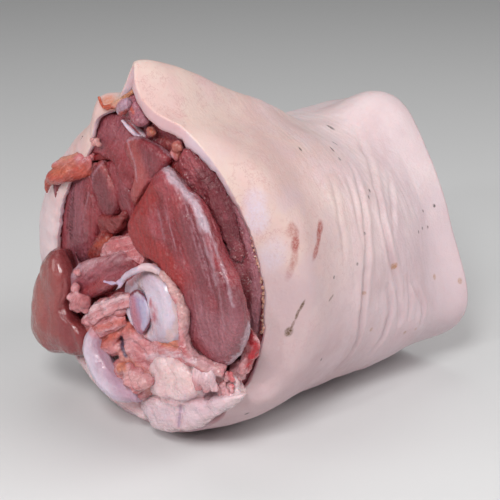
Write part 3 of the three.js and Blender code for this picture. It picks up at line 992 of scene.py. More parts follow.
# %% The fan and the muscle above it
fan = muscle("fan_muscle", [(-5, 110), (-8, 114), (-14, 115), (-20, 114), (-28, 111), (-26, 107),
        (-21, 101), (-16, 96), (-13, 92), (-10, 89), (-8, 93), (-11, 99), (-9, 104)],
    traced=0, at=-1.5, dome=3.5, root=12, lean=-10, seed=4)
paint(fan, (0.36, 0.075, 0.07), [(-9, 111), (-12, 98), (-10, 90)], 6, 0.7)
paint(fan, MAUVE, [(-18, 108)], 7, 0.4)
paint(fan, PALE, [(-6, 112), (-14, 115), (-22, 114), (-28, 111)], 1.1, 0.9)
paint(fan, PALE, [(-6, 112), (-10, 104), (-11, 98)], 0.7, 0.6)
upper = muscle("upper_muscle", [(4, 120), (-4, 119.5), (-12, 114), (-10, 107), (-8, 100), (-4, 91),
        (1, 95), (4, 100), (11, 102), (25, 102), (22, 110), (13, 118)],
    traced=4, at=5, dome=4, root=10, lean=-30, seed=5)
paint(upper, DUSKY, [(16, 108), (2, 114)], 8, 0.6)
paint(upper, WHITE, [(-1, 119), (-4, 117.5), (-8, 115), (-12, 113)], 1.2, 0.9)
paint(upper, RED, [(-7, 106), (-7, 98)], 4, 0.5)

# %% [markdown]
# In the tip of the hood are small torn things: minced meat, a cut vessel, orange knobs of fat, a white
# line of sheath and an orange streak on the rim. Each is a small pillow, strand or ball.

# %% Torn meat in the tip of the hood
dark_meat = tissue("dark_meat", [(-9, 118), (-16, 119), (-24, 117), (-28, 113), (-24, 109), (-18, 109),
        (-13, 111), (-8, 114)],
    traced=6, at=5, dome=2.6, root=8, lean=-60, seed=33, material=meat_cut,
    lumps=((3, 0.9), (1.5, 0.4)))
paint(dark_meat, (0.3, 0.05, 0.045), [(-14, 117), (-22, 113)], 5, 0.7)
minced = tissue("minced_meat", [(2, 124), (-1, 128), (-6, 129), (-12, 125), (-15, 120), (-11, 117),
        (-5, 118), (1, 119)],
    traced=3, at=1.5, dome=4, root=9, lean=-50, seed=34, material=meat_cut,
    lumps=((3, 0.9), (1.5, 0.4)))
paint(minced, (0.4, 0.16, 0.21), [(-6, 124), (-11, 120)], 5, 0.6)
paint(minced, (0.5, 0.1, 0.06), [(-5, 122.5), (-6.5, 121)], 1.4, 0.8)

# %% The vessel, the sheath, the knobs and the streak
vessel = strand("vessel", [(-2.5, -5.6, 122.4), (-3.5, -7.4, 124.4), (-3.5, -9.4, 126.4),
        (-2.5, -10.8, 128)], [1.3, 2.4, 2.4, 1.2])
finish_piece(vessel, sinew, "fat", voxel=0.35, smooth=3, lumps=((3, 0.3),), lean=10, seed=35,
    under=False)
paint(vessel, (0.38, 0.23, 0.3), [(-5, 121.5), (-9, 126), (-12, 129)], 6, 0.95, 0.2, 1.0)
paint(vessel, (0.36, 0.13, 0.17), [(-10, 122.5), (-12.5, 126)], 1.8, 0.8)
paint(vessel, (0.42, 0.07, 0.05), [(-6, 121.8), (-9.5, 123.4)], 1.1, 0.9)
sheath = strand("white_sheath", [(-2, -5.4, 119.7), (-2, -8.5, 117.8), (-1.5, -11.1, 116.1),
        (-0.5, -13.2, 114.6), (1, -16, 113.4)], [0.4, 0.8, 0.95, 0.8, 0.4])
finish_piece(sheath, cartilage, "fat", voxel=0.25, smooth=2, lumps=((2, 0.3),), lean=-50, seed=61,
    under=False)
knobs = join("orange_knobs", *several(ball, [((0.5, -18, 117.4), (1.6, 2.3, 2.1)),
    ((0, -31.5, 115), (2.0, 2.4, 2.2)), ((0.5, -30, 112), (2.0, 2.4, 2.2))]))
finish_piece(knobs, sinew, "fat", voxel=0.35, smooth=3, lumps=((2, 0.5),), seed=44)
paint(knobs, (0.36, 0.1, 0.075), [(-17, 118), (-32, 114)], 4, 0.9)
paint(knobs, (0.4, 0.09, 0.03), [(-19, 117.5)], 1.5, 0.8)
tip_streak = strand("tip_streak", [(-1.6, 7.5, 125.6), (-2.4, 4, 123), (-2.4, -1, 124),
        (-1.6, -6, 127.3), (-0.8, -11, 131)], [0.3, 0.7, 1.0, 1.1, 0.6])
finish_piece(tip_streak, sinew, "fat", voxel=0.3, smooth=3, lumps=((3, 0.5), (1.5, 0.3)), lean=-60,
    seed=36, under=False)
paint(tip_streak, (0.62, 0.33, 0.22), [(8, 125), (-10, 131)], 6, 0.9)
paint(tip_streak, (0.46, 0.07, 0.03), [(8, 125), (5, 123), (0, 123)], 2.6, 0.95)
paint(tip_streak, (0.42, 0.17, 0.09), [(-7, 128), (-11, 131)], 2.4, 0.9)

# %% [markdown]
# On the left the muscles stand on edge, side by side, with pale fascia where two of them meet. A brush
# along the shared part of their outlines paints that line.

# %% Two small muscles and a red slit
left_a = muscle("left_muscle", [(10, 102), (17, 95), (18, 88), (14.5, 82), (10, 80), (3, 82), (0, 89),
        (4, 96)],
    traced=2, at=5, dome=4.5, root=10, lean=-5, seed=6)
paint(left_a, (0.33, 0.08, 0.08), [(10, 101), (6, 94)], 5, 0.7)
paint(left_a, (0.14, 0.035, 0.045), [(12, 92), (9, 84)], 7, 0.7)
slit = muscle("red_slit", [(16.5, 100.5), (14, 103), (9.5, 104), (5, 103.6), (7, 102.2), (13, 101)],
    traced=2, at=4, dome=2.0, root=6, lean=-60, seed=16, voxel=0.35, lumps=((3, 0.5),))
# Deep red in the slit: the red of the meat, and painted shade in the gap between the muscles.
paint(slit, (0.17, 0.01, 0.012), [(16, 101.5), (6, 103.5)], 4, 0.95)
paint(left_a, PALE, [(10, 101), (16.5, 94), (17, 87)], 0.7, 0.6)
left_b = muscle("left_neighbour", [(8, 102), (1, 103), (-4, 97), (-7, 92), (-8, 88), (-7, 83), (-1, 83),
        (2, 88), (5, 94)],
    traced=2, at=5.5, dome=4, root=10, lean=25, seed=7)
paint(left_b, MAUVE, [(-2, 97), (0, 88)], 6, 0.4)
paint(left_b, PALE, [(1, 103), (-4, 97), (-8, 89)], 0.8, 0.8)

# %% Three strips on the left
STRIPS = [  # outline, the plane it lies on
    ([(40, 88), (31, 93), (27, 80), (30, 70), (29, 60), (26, 54), (34, 50), (40, 55), (42, 64),
      (42, 76)], 4),
    ([(29, 92), (17, 95), (16, 85), (20, 76), (22, 69), (19, 62), (25, 58), (30, 62), (33, 71),
      (30, 82)], 3),
    ([(18, 89), (11, 82), (13, 76), (15, 70), (18, 63), (22, 62), (25, 70), (22, 79)], 2),
]
for index, (outline, traced) in enumerate(STRIPS):
    strip = muscle(f"side_strip_{index + 1}", outline,
        traced=traced, at=4.2 - 0.3 * index, dome=3.5, root=9, lean=-4, seed=8 + index,
        lumps=((9, 0.8), (3, 0.3)), ridges=((2.0, 0.5), (0.8, 0.2)))
    paint(strip, (0.25, 0.08, 0.105), [(30, 90), (28, 60)], 12, 0.65)
    for side in (0, -3):
        paint(strip, PALE, np.array(outline)[[side + 1, side + 2, side + 3, side + 4]], 0.6, 0.5, 0.8)

# %% The middle muscle and the brown flap
centre = muscle("middle_muscle", [(19, 83), (11, 82), (2, 84), (-6, 84), (-8, 75), (0, 68), (13, 66),
        (21, 66), (22, 74)],
    traced=5, at=8, dome=4, root=8, lean=0, seed=12)
# Near-black where the muscle lies deep between the two flaps: painted shade.
paint(centre, DEEP_SHADE, [(-5, 80), (0, 70)], 6, 0.5)
brown = muscle("brown_flap", [(15, 78), (10, 81), (3, 82), (-3, 85), (-1, 80), (4, 75), (11, 73)],
    traced=2, at=3, dome=3, root=6, lean=70, seed=13, voxel=0.4, lumps=((4, 0.9), (2, 0.3)))
paint(brown, (0.2, 0.032, 0.03), [(12, 77), (0, 82)], 7, 0.75)

# %% [markdown]
# One smooth muscle hangs out over the rim at the lower left. It is whole, so it has a round crown, a
# wet shine and hardly any fibre.

# %% The hanging muscle
lobe = muscle("hanging_muscle", [(24, 67), (20, 65), (16.5, 59), (16, 53), (18, 47), (15, 43), (10, 40),
        (7, 36), (7, 31), (13, 27), (22, 25), (32, 23), (39, 26), (42, 31), (40, 46), (37, 54),
        (31, 62)],
    traced=-10, at=-6, dome=8, root=14, lean=-4, seed=14, ridges=((1.6, 0.1), (0.7, 0.04)),
    lumps=((14, 1.1), (5, 0.3)), crown=ROUND_CROWN, material=meat_wet)
press(lobe, [(18, 55), (22, 44), (16, 30)], 2.5, 0.9)
press(lobe, [(36, 54), (31, 38), (34, 26)], 2.5, 0.6)
paint(lobe, (0.3, 0.095, 0.08), [(33, 60), (38, 44), (38, 30)], 8, 0.65)
paint(lobe, (0.27, 0.055, 0.05), [(28, 52), (28, 34)], 9, 0.6)
# Darker at the lower end: painted shade.
paint(lobe, (0.21, 0.04, 0.045), [(30, 27), (18, 28)], 5, 0.5)
paint(lobe, (0.2, 0.03, 0.035), [(16, 52), (22, 36), (14, 32)], 6, 0.5)

# %% The flap over the joint, with its beads of fat
flap = muscle("joint_flap", [(-12, 75), (-19, 74), (-23, 70), (-13, 63), (0, 56), (7, 51), (11, 48),
        (17, 45), (22, 46), (24, 49), (21, 52), (20, 56), (17, 60), (11, 65), (4, 68), (-4, 71)],
    traced=-8, at=-4, dome=5, root=10, lean=-54, seed=15)
press(flap, [(-16, 69), (2, 62), (16, 52)], 1.4, 1.0)
paint(flap, (0.31, 0.09, 0.115), [(16, 54), (-6, 68)], 12, 0.6, 0.3, 1.0)
paint(flap, (0.52, 0.28, 0.31), [(19, 58), (8, 65), (-4, 71.5), (-14, 75)], 3.4, 0.85, 0.9, 1.0)
paint(flap, RED, [(0, 60), (12, 53)], 2.5, 0.5)
paint(flap, (0.5, 0.32, 0.38), [(20, 51), (19.5, 56), (14, 62)], 2.4, 0.75, 0.6, 1.0)
beads = cluster("fat_beads", 0.9, [((-10, 13, 47.5), 2.9), ((-10, 15.5, 50), 2.5),
    ((-10, 12, 50.5), 2.6), ((-10, 14.5, 54), 2.0), ((-10, 10, 47.5), 2.2), ((-9, 13.5, 60.5), 1.8),
    ((-10, 16.5, 46.5), 1.7), ((-10, 9, 50), 2.6)])
finish_piece(beads, sinew, "fat", voxel=0.4, smooth=6, lumps=((3, 0.7), (1.6, 0.3)), seed=37)
paint(beads, (0.4, 0.12, 0.13), [(14, 47), (9, 50)], 5, 0.7)

# %% [markdown]
# ## The opened joint
# The knife went through the elbow. Its two heads show as white crescents of cartilage round a
# blue-grey hollow, held in torn capsule, sinew and fat. The soft tissue here is one mass: pillows and
# strands are joined, and the remesh melts them together.

# %% Bones
def from_solid(node, name, pushed_in):
    """A merged copy of a node's solid. Its joint end is pushed in to make room for the cartilage."""
    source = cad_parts[node]
    take(source)
    bpy.ops.object.duplicate()
    piece = bpy.context.object
    piece.name = name
    bpy.ops.object.mode_set(mode="EDIT")
    bpy.ops.mesh.select_all(action="SELECT")
    bpy.ops.mesh.remove_doubles(threshold=0.00001)
    bpy.ops.object.mode_set(mode="OBJECT")
    places = corners(piece)
    places[:, 0] += pushed_in * np.clip((16 - places[:, 0]) / 16, 0, 1)
    move_corners(piece, places)
    return piece


MARROW = (0.22, 0.03, 0.03)
for node in ("ulna", "radius"):
    piece = from_solid(node, node + "_bone", 9)
    places = corners(piece)
    sawn_x = places[:, 0].max()
    rim_of_bone = places[places[:, 0] > sawn_x - 0.5, 1:]
    middle = (rim_of_bone.min(axis=0) + rim_of_bone.max(axis=0)) / 2
    reach = (rim_of_bone.max(axis=0) - rim_of_bone.min(axis=0)).min() / 2
    finish_piece(piece, bone, "bone", voxel=0.7, smooth=2, lumps=((6, 0.25), (2, 0.08)), seed=40,
        node=node, under=False)
    places = corners(piece)
    off = np.linalg.norm(places[:, 1:] - middle, axis=1) / reach
    hollow = np.clip((0.66 - off) / 0.12, 0, 1) * (places[:, 0] > sawn_x - 3)
    places[:, 0] -= hollow * (0.8 + 0.5 * bumps(places, 1.6))
    move_corners(piece, places)
    TRACED[piece.name] = sawn_x
    paint(piece, MARROW, [middle], reach * 0.75, 0.92, 0.12, 0.25)
    print(piece.name, "sawn at", round(sawn_x, 1), "middle", middle.round(1), "half width", round(reach, 1))

# %% [markdown]
# The ulna's head is a white crescent. Its notch holds an oval hollow, blue-grey with a red rim, so a
# groove is pressed into the crescent and a flatter pillow lies in it. The radius's head shows lower
# down as a curved bar.

# %% The heads of the two bones
crescent = pillow("ulna_head", [(-19, 70), (-27, 73), (-36, 71), (-41, 65), (-43, 59), (-42, 52),
        (-38, 47), (-30, 45), (-21, 43), (-14, 46), (-11, 53), (-11, 61), (-14, 67)],
    traced=-8, at=-5, dome=5, root=10)
remesh(crescent, 0.4, 6)
press(crescent, [(-17.5, 58), (-19, 48)], 5.0, 3.4)
press(crescent, [(-22, 70), (-31, 66), (-36, 57), (-31, 48)], 3.0, -0.8)
finish_piece(crescent, cartilage, "bone", voxel=0.4, smooth=2, lumps=((7, 0.35),), lean=5, seed=41,
    node="ulna")
paint(crescent, ROSE, [(-21, 58), (-23, 51), (-21, 45), (-15, 45)], 2.2, 0.7, 0.8)
paint(crescent, (0.38, 0.03, 0.04), [(-22.5, 57), (-23, 51), (-19, 44.5), (-15, 45)], 1.3, 0.8, 0.8, 1.0)
paint(crescent, CREAM, [(-37, 64), (-39, 54), (-34, 48)], 2.4, 0.5, 0.8)
paint(crescent, (0.52, 0.34, 0.3), [(-19.5, 63), (-19.5, 67), (-23, 71), (-31, 70)], 2.4, 0.65, 0.5, 1.0)
paint(crescent, (0.44, 0.28, 0.34), [(-22, 70), (-14, 64), (-11, 54)], 4, 0.7, 0.3, 1.0)
paint(crescent, ROSE, [(-14, 63), (-20, 69)], 1.6, 0.6, 0.6)
# A dark line along the crescent's left edge: painted shade where it meets the tissue beside it.
paint(crescent, (0.2, 0.015, 0.03), [(-10.5, 64), (-10, 54)], 1.6, 0.85)
paint(crescent, (0.4, 0.05, 0.07), [(-25.5, 59), (-27.5, 57), (-26.5, 53)], 2.6, 0.75, 0.5, 1.0)
paint(crescent, (0.6, 0.4, 0.42), [(-26, 50), (-23, 46)], 3.0, 0.6, 0.5, 1.0)
oval = pillow("joint_oval", [(-12, 58), (-16, 61), (-19.8, 60), (-23.2, 56), (-23, 51), (-19.2, 44.8),
        (-15.5, 44.6), (-12.4, 50)],
    traced=-6, at=-7.8, dome=2.2, root=4)
finish_piece(oval, cartilage, "bone", voxel=0.35, smooth=3, lumps=((4, 0.3),), lean=5, seed=42,
    node="ulna")
paint(oval, BLUE_GREY, [(-17, 57), (-18, 48)], 8, 0.9)
paint(oval, (0.42, 0.13, 0.17), [(-13.5, 57), (-14.5, 50), (-17, 46)], 4.4, 0.9, 0.3, 1.0)
paint(oval, (0.46, 0.36, 0.38), [(-13, 60), (-17, 60)], 3.0, 0.8, 0.4, 1.0)
# A pale blue stripe on the oval's right part: painted highlight.
paint(oval, (0.42, 0.37, 0.5), [(-19, 56), (-20, 51), (-19, 47.5)], 1.9, 0.8)
# A thin dark red line round the oval: painted shade of the seam where it sinks into the crescent.
paint(oval, (0.16, 0.015, 0.025), [(-12, 57.5), (-16, 60.8), (-20, 59.8), (-23.2, 56), (-23, 51),
        (-19, 44.8)], 0.8, 0.9)
lower_c = strand("radius_head", [(-6, 6, 39), (-8, 7, 34), (-8, 4, 27), (-8, -2, 22), (-8, -10, 20),
        (-7, -17, 20)], [3.0, 4.2, 5.2, 5.2, 4.4, 2.6])
finish_piece(lower_c, cartilage, "bone", voxel=0.4, smooth=5, lumps=((7, 0.5), (3, 0.15)), lean=20,
    seed=43, node="radius")
paint(lower_c, (0.42, 0.25, 0.33), [(4, 34), (2, 28), (-6, 22), (-14, 19)], 8, 0.9, 0.2, 1.0)
paint(lower_c, (0.5, 0.27, 0.3), [(-8, 34), (-6, 27), (-12, 22)], 1.6, 0.6, 0.5, 1.0)
paint(lower_c, ROSE, [(8, 39), (2, 38)], 3, 0.6)

# %% [markdown]
# A bed of crimson meat closes the hollow behind the flap. The torn capsule and sinew lie over it, and
# grooves part the strips again after the remesh.

# %% Soft tissue round the joint
bed = tissue("joint_bed", [(20.6, 46.2), (9.2, 52.5), (0.5, 58.1), (-9.7, 64.2), (-12.5, 60),
        (-9.9, 53), (3.7, 48), (12.6, 42), (19.8, 40)],
    traced=-5, at=-2.6, dome=1.2, root=5, lean=-60, seed=31, material=meat_cut,
    lumps=((3, 0.8), (1.4, 0.4)))
paint(bed, (0.22, 0.012, 0.02), [(18, 43), (2, 53), (-10, 61)], 12, 0.9)
CAPSULE = [  # outline, its plane, the rim's x, how far the crown rises and the root goes in
    ([(0, 75), (-8, 79), (-17, 82), (-22, 78), (-22, 71), (-13, 67), (-9, 71), (-4, 70), (4, 67)],
     -6, -2, 5, 8),
    ([(14, 39), (8, 47), (1, 53), (-13, 59), (-15, 54), (-5, 46), (7, 40)], -8, -4, 5, 8),
    ([(9, 42), (-2, 46), (-10, 47), (-17, 50), (-13, 41), (-8, 34), (3, 30), (10, 36)], -9, -4, 4.5, 9),
    ([(-6, 45), (-13, 45), (-24, 42), (-24, 35), (-17, 29), (-8, 28), (-3, 34)], -5, -3, 4, 9),
    ([(-5, 30), (-13, 33), (-22, 35), (-29, 33), (-27, 26), (-20, 19), (-12, 17), (-7, 22)],
     -9, -4, 5, 10),
    ([(-27, 50), (-36, 53), (-43, 49), (-41, 44), (-33, 42), (-26, 40)], -8, -4, 4, 8),
    ([(-19, 41), (-29, 45), (-40, 46), (-50, 47), (-49, 41), (-38, 38), (-27, 33), (-19, 33)],
     -8, -3, 4, 9),
]
CORD = ([(-7, -25, 73), (-9, -33, 71.5), (-10, -40, 68), (-10, -44, 61), (-10.5, -44.5, 53),
         (-10.5, -47, 47), (-8, -53, 44), (-4.5, -58, 42)], [0.8, 1.3, 1.7, 2.0, 2.1, 2.5, 2.6, 2.3])
soft = join("joint_tissue", *several(pillow, CAPSULE), strand("around_the_head", *CORD))
remesh(soft, 0.5, 2)
for line in ([(12, 41), (2, 48), (-10, 54)], [(-4, 36), (-13, 41), (-22, 38)], [(-30, 45), (-44, 45)],
             [(6, 34), (-2, 40), (-12, 46)], [(-8, 73), (-18, 78)], [(-22, 33), (-32, 38)]):
    press(soft, line, 1.0, 1.3)
press(soft, [(-8, 41), (-8.3, 37), (-10.5, 33)], 1.3, 3.0)
finish_piece(soft, sinew, "fat", voxel=0.45, smooth=1, lumps=((4.5, 0.8), (2.0, 0.35)),
    ridges=((1.3, 0.3),), lean=-66, seed=38)
paint(soft, (0.45, 0.08, 0.045), [(8, 36), (-2, 40), (-12, 46)], 6, 0.85)
paint(soft, RED, [(3, 44), (-12, 50)], 2, 0.6)
paint(soft, ROSE, [(-10, 42), (-22, 38)], 6, 0.5)
paint(soft, (0.55, 0.2, 0.15), [(-10, 30), (-24, 28)], 7, 0.8)
paint(soft, ORANGE, [(-9, 28), (-13, 31)], 2.5, 0.7)
paint(soft, (0.52, 0.14, 0.06), [(-31, 46), (-37, 47)], 3, 0.75)
paint(soft, (0.6, 0.36, 0.35), [(-30, 72), (-41, 66), (-44, 54), (-48, 46), (-57, 42)], 4, 0.85)
paint(soft, (0.5, 0.25, 0.28), [(-44, 55), (-47, 47), (-56, 43)], 3.5, 0.7)
paint(soft, (0.6, 0.3, 0.33), [(12, 40), (2, 48), (-10, 54)], 3, 0.6, 0.5)
paint(soft, (0.36, 0.05, 0.05), [(10, 43), (-2, 51), (-12, 53)], 1.0, 0.5)
paint(soft, WHITE, [(-22, 37), (-36, 43), (-48, 44)], 1.5, 0.5, 0.9)
# Blue-grey of the joint in the deep slit between the heads, painted dark as the slit's shade.
paint(soft, (0.12, 0.1, 0.16), [(-8.3, 40), (-8.5, 37), (-10, 34)], 1.5, 0.9, 0.3)

# %% [markdown]
# The folds, the orange lump and the white strand stand in front of the rest. A strand of sinew is
# thick in the middle and frays into a fork at its end.

# %% Orange tissue, white folds, lump and strand
orange_bit = tissue("orange_tissue", [(17, 64), (11, 73), (7, 76), (2, 75), (2, 69), (10, 63)],
    traced=-1, at=1, dome=4, root=8, lean=-60, seed=17)
paint(orange_bit, (0.2, 0.012, 0.007), [(15, 65), (4, 73)], 9, 0.95)
paint(orange_bit, ORANGE, [(12, 69), (5, 73)], 1.6, 0.6)
white_folds = join("white_folds", *several(pillow, [
    ([(11.5, 41), (8, 46.5), (1.5, 52), (-8, 57), (-15, 60), (-17, 56.5), (-9, 52), (-1, 46.5),
      (6, 41.5)], -10, -7.5, 2.6, 4),
    ([(8, 38.5), (3, 43), (-5, 47.5), (-12, 50.5), (-13, 47.5), (-6, 43.5), (2, 38)], -10, -7, 2.2, 4),
]))
finish_piece(white_folds, sinew, "fat", voxel=0.35, smooth=3, lumps=((5, 0.9), (2.2, 0.4)),
    ridges=((1.6, 0.45), (0.8, 0.15)), lean=-60, seed=45)
press(white_folds, [(9, 42.5), (-1, 49.5), (-12, 56.5)], 0.8, 0.9)
paint(white_folds, (0.68, 0.44, 0.47), [(10, 44), (2, 51), (-8, 56), (-15, 59)], 1.8, 0.9, 0.4, 1.0)
paint(white_folds, (0.62, 0.3, 0.32), [(7, 42), (-3, 48), (-12, 54)], 1.8, 0.7, 0.5, 1.0)
paint(white_folds, (0.5, 0.09, 0.06), [(8, 39), (-4, 45), (-13, 49)], 1.6, 0.7, 0.6)
lump = cluster("orange_lump", 0.9, [((-9, -10, 29.5), 2.2), ((-9.5, -14, 30.5), 2.6),
    ((-10, -19, 30), 3.2), ((-10, -24, 29.5), 2.8), ((-10, -20, 27), 3.0), ((-9.5, -15, 27), 3.0),
    ((-9, -13, 25), 2.2), ((-9, -18, 24), 2.2)])
finish_piece(lump, sinew, "fat", voxel=0.4, smooth=8, lumps=((5, 0.7), (2.4, 0.5)),
    ridges=((1.6, 0.3),), lean=-60, seed=46)
paint(lump, (0.64, 0.35, 0.35), [(-12, 29), (-24, 29)], 7, 0.8, 0.3, 1.0)
paint(lump, (0.5, 0.13, 0.05), [(-9, 29.5), (-12, 31.5)], 2.6, 0.8)
white_strand = join("white_strand", *several(strand, [
    ([(-13, -6, 63.2), (-13.2, -11, 63.8), (-13.4, -15.7, 66), (-13.4, -19.6, 69.3), (-13, -23.6, 72),
      (-11, -28, 73.6), (-8.5, -32, 72)], [0.4, 0.7, 0.85, 1.15, 1.35, 1.4, 1.0]),
    ([(-13.2, -12.8, 61.8), (-13.4, -15.6, 64.6), (-13.4, -18.5, 68.4)], [0.25, 0.6, 0.7]),
]))
finish_piece(white_strand, cartilage, "fat", voxel=0.25, smooth=2, lumps=((3, 0.5),), seed=32)
paint(white_strand, (0.46, 0.32, 0.5), [(-5, 63), (-12, 63.5), (-15, 65)], 2.5, 0.85, 0.3, 1.0)
paint(white_strand, (0.66, 0.46, 0.46), [(-28, 74), (-33, 72)], 4, 0.7)

# %% [markdown]
# The fat under the joint is a pad in four pillows, melted into one, and a long groove parts its upper
# and lower half. A short ligament of three strands and grains of fat lie on it, and a torn red strip
# stands at the right.

# %% The fat pad
FAT_PAD = [  # as for the capsule
    ([(-27, 40), (-37, 44), (-48, 44), (-54, 40), (-53, 32), (-46, 25), (-36, 22), (-28, 23), (-25, 31)],
     -9, -3, 6, 12),
    ([(-18, 27), (-27, 26), (-34, 26), (-44, 27), (-53, 31), (-62, 36), (-71, 38), (-66, 32), (-55, 23),
      (-48, 18), (-40, 13), (-30, 9), (-21, 9), (-15, 16)], -6, 0, 5.5, 14),
    ([(-45, 42), (-51, 45), (-56, 42), (-55, 35), (-48, 29), (-44, 34)], -4, 0, 5, 9),
    ([(-49, 38), (-57, 41), (-62, 37), (-57, 31), (-48, 29)], -1, 1, 3.0, 9),
]
fat_mass = join("fat_mass", *several(pillow, FAT_PAD))
remesh(fat_mass, 0.55, 6)
press(fat_mass, [(-22, 22.5), (-31.5, 22.6), (-42, 25.8), (-52, 30.8), (-60, 35.5)], 1.3, 1.8)
press(fat_mass, [(-39.4, 23), (-38, 15)], 0.9, 1.0)
press(fat_mass, [(-36.6, 22), (-36, 16)], 0.7, -0.5)
press(fat_mass, [(-44, 43), (-49, 31), (-40, 24)], 1.3, 0.9)
press(fat_mass, [(-54, 43), (-56, 34)], 1.0, 0.7)
press(fat_mass, [(-31, 41), (-36, 34), (-35, 27)], 1.2, 0.7)
press(fat_mass, [(-20, 22), (-25, 12)], 1.4, 0.6)
press(fat_mass, [(-49, 29), (-55, 25)], 1.2, 0.6)
finish_piece(fat_mass, fat, "fat", voxel=0.55, smooth=2, lumps=((9, 1.0), (4, 0.6), (1.6, 0.12)),
    lean=-66, seed=24)
paint(fat_mass, (0.64, 0.47, 0.53), [(-22, 14), (-40, 20), (-58, 32)], 10, 0.75, 0.15, 1.0)
# Darker lilac in the short notch: painted shade in the groove.
paint(fat_mass, (0.34, 0.2, 0.3), [(-39.4, 23), (-38, 15)], 1.1, 0.7)
paint(fat_mass, (0.76, 0.54, 0.53), [(-33, 34), (-44, 36)], 10, 0.6, 0.15, 1.0)
# Rose along the long groove: painted shade in the groove.
paint(fat_mass, ROSE, [(-26, 22.3), (-36, 23.6), (-47, 28.3), (-57, 33.4)], 1.6, 0.4, 0.6, 1.0)
paint(fat_mass, (0.46, 0.12, 0.13), [(-53, 47), (-62, 42)], 6, 0.8, 0.8, 1.0)
paint(fat_mass, (0.5, 0.22, 0.22), [(-28, 41), (-44, 44)], 3, 0.6, 0.5, 1.0)

# %% Ligament, grains of fat and the torn strip
ligament = join("ligament", *several(strand, [
    ([(-8.8, -49.8, 46.2), (-9.6, -50.4, 41.2), (-8.8, -49.8, 34.2)], [1.0, 1.9, 1.2]),
    ([(-7.8, -52.8, 46.2), (-9.0, -52.9, 40.7), (-7.8, -52.8, 34.2)], [1.0, 1.9, 1.2]),
    ([(-6.6, -55.2, 45.6), (-7.8, -55.2, 40.2), (-6.6, -55.6, 35.2)], [1.0, 1.8, 1.1]),
]))
finish_piece(ligament, sinew, "fat", voxel=0.35, smooth=2, lumps=((4, 0.6),), ridges=((0.7, 0.2),),
    seed=47)
paint(ligament, (0.72, 0.52, 0.56), [(-47, 42), (-53, 40)], 10, 0.9, 0.2, 0.8)
chance = np.random.default_rng(7)
grain_places = [(-2.3 + chance.uniform(-0.5, 0.5), chance.uniform(-60, -50.5), chance.uniform(31, 41))
                for _ in range(46)]
grains = join("fat_grains", *several(ball, [(place, (0.9, 0.9, 0.9) * chance.uniform(0.8, 1.5, 3))
                                            for place in grain_places]))
finish_piece(grains, sinew, "fat", voxel=0.32, smooth=2, lumps=((1.5, 0.25),), seed=48)
paint(grains, (0.7, 0.36, 0.38), [(-52, 37), (-60, 37)], 6, 0.7)
paint(grains, (0.45, 0.05, 0.06), [(-59, 41), (-61, 37)], 2.5, 0.7)
torn = tissue("torn_strip", [(-60, 53), (-64, 55), (-67, 51), (-63, 43), (-58, 36), (-54, 32),
        (-50, 36), (-56, 43), (-61, 47)],
    traced=4, at=6, dome=4.5, root=8, lean=-35, seed=28, lumps=((2.8, 1.0), (1.3, 0.4)), voxel=0.4)
paint(torn, (0.4, 0.008, 0.018), [(-62, 54), (-65, 50), (-61, 43)], 3.0, 0.95)
paint(torn, (0.66, 0.34, 0.36), [(-59, 44), (-56, 39), (-53, 36)], 3.0, 0.8)

# %% [markdown]
# An orange strip of fat and membrane hangs over the left rim, small fat shows along the right rim, and
# a roll of fat closes the bottom.

# %% Fat on the rim
HANGING_STRANDS = [
    ([(-1, 40.5, 82.5), (-2, 38, 88), (-2, 32, 91.5), (0, 24, 94), (4, 15, 97)], [0.6, 1.7, 2.9, 3.3, 2.0]),
    ([(-1, 36, 94), (0, 30, 97), (1, 23, 99.5), (3, 16, 101)], [1.0, 1.7, 2.0, 1.4]),
]
MEMBRANE = ([(39, 86), (36, 93), (30, 98), (22, 101), (15, 101), (16, 96), (25, 92), (34, 88)],
            0, 0.5, 1.2, 2.0)
hanging = join("hanging_strip", *several(strand, HANGING_STRANDS), pillow("membrane", *MEMBRANE))
finish_piece(hanging, sinew, "fat", voxel=0.45, smooth=4, lumps=((6, 0.8), (2.5, 0.3)),
    ridges=((1.2, 0.15),), lean=-52, seed=29, under=False)
paint(hanging, (0.42, 0.055, 0.028), [(41, 82), (37, 90), (26, 92), (16, 95)], 5, 0.9)
paint(hanging, (0.5, 0.14, 0.08), [(36, 92), (26, 97)], 3.4, 0.6)
paint(hanging, (0.56, 0.24, 0.16), [(34, 97), (24, 102)], 2.4, 0.75)
bead = cluster("cream_bead", 1, [((-1, 11.4, 107.8), 1.3), ((-1, 9.9, 109.3), 1.1),
    ((-1, 8.9, 107.9), 1.2), ((-0.5, 13, 108.6), 1.1)])
finish_piece(bead, sinew, "fat", voxel=0.3, smooth=2, lumps=((2, 0.4),), seed=39, under=False)
paint(bead, (0.6, 0.3, 0.28), [(10, 108)], 5, 0.8)
rim_bits = []
for k, bit_angle in enumerate(np.linspace(160, 190, 44)):
    inward = chance.uniform(1.2, 3.4) * sleeve_normal(bit_angle, 0.0)
    place = sleeve(bit_angle, 0.0) - inward + (chance.uniform(-0.6, 0.5), 0, chance.uniform(-0.5, 0.5))
    rim_bits.append(ball(f"bit_{k}", place, 0.55 * chance.uniform(0.7, 1.7, 3)))
rim_fat = join("rim_fat", *rim_bits)
finish_piece(rim_fat, sinew, "fat", voxel=0.25, smooth=2, seed=49, under=False)
paint(rim_fat, (0.66, 0.4, 0.28), [(-62, 80), (-62, 40)], 14, 0.7)
tissue("bottom_fat", [(25, 20), (20, 23), (16, 26), (13, 21), (8, 17), (0, 16), (-8, 16),
        (-13, 14), (-15, 7), (-6, 8), (4, 9), (12, 12), (20, 16)],
    traced=-2, at=2, dome=4, root=14, lean=-60, seed=30, material=fat, lumps=((7, 0.6), (2.5, 0.3)),
    ridges=())

# %% [markdown]
# ## The sawn end
# At the small end the saw went straight through. A ring of fat lies inside the rind, the muscles and
# tendons stand a little proud of it, and both bones show their marrow.

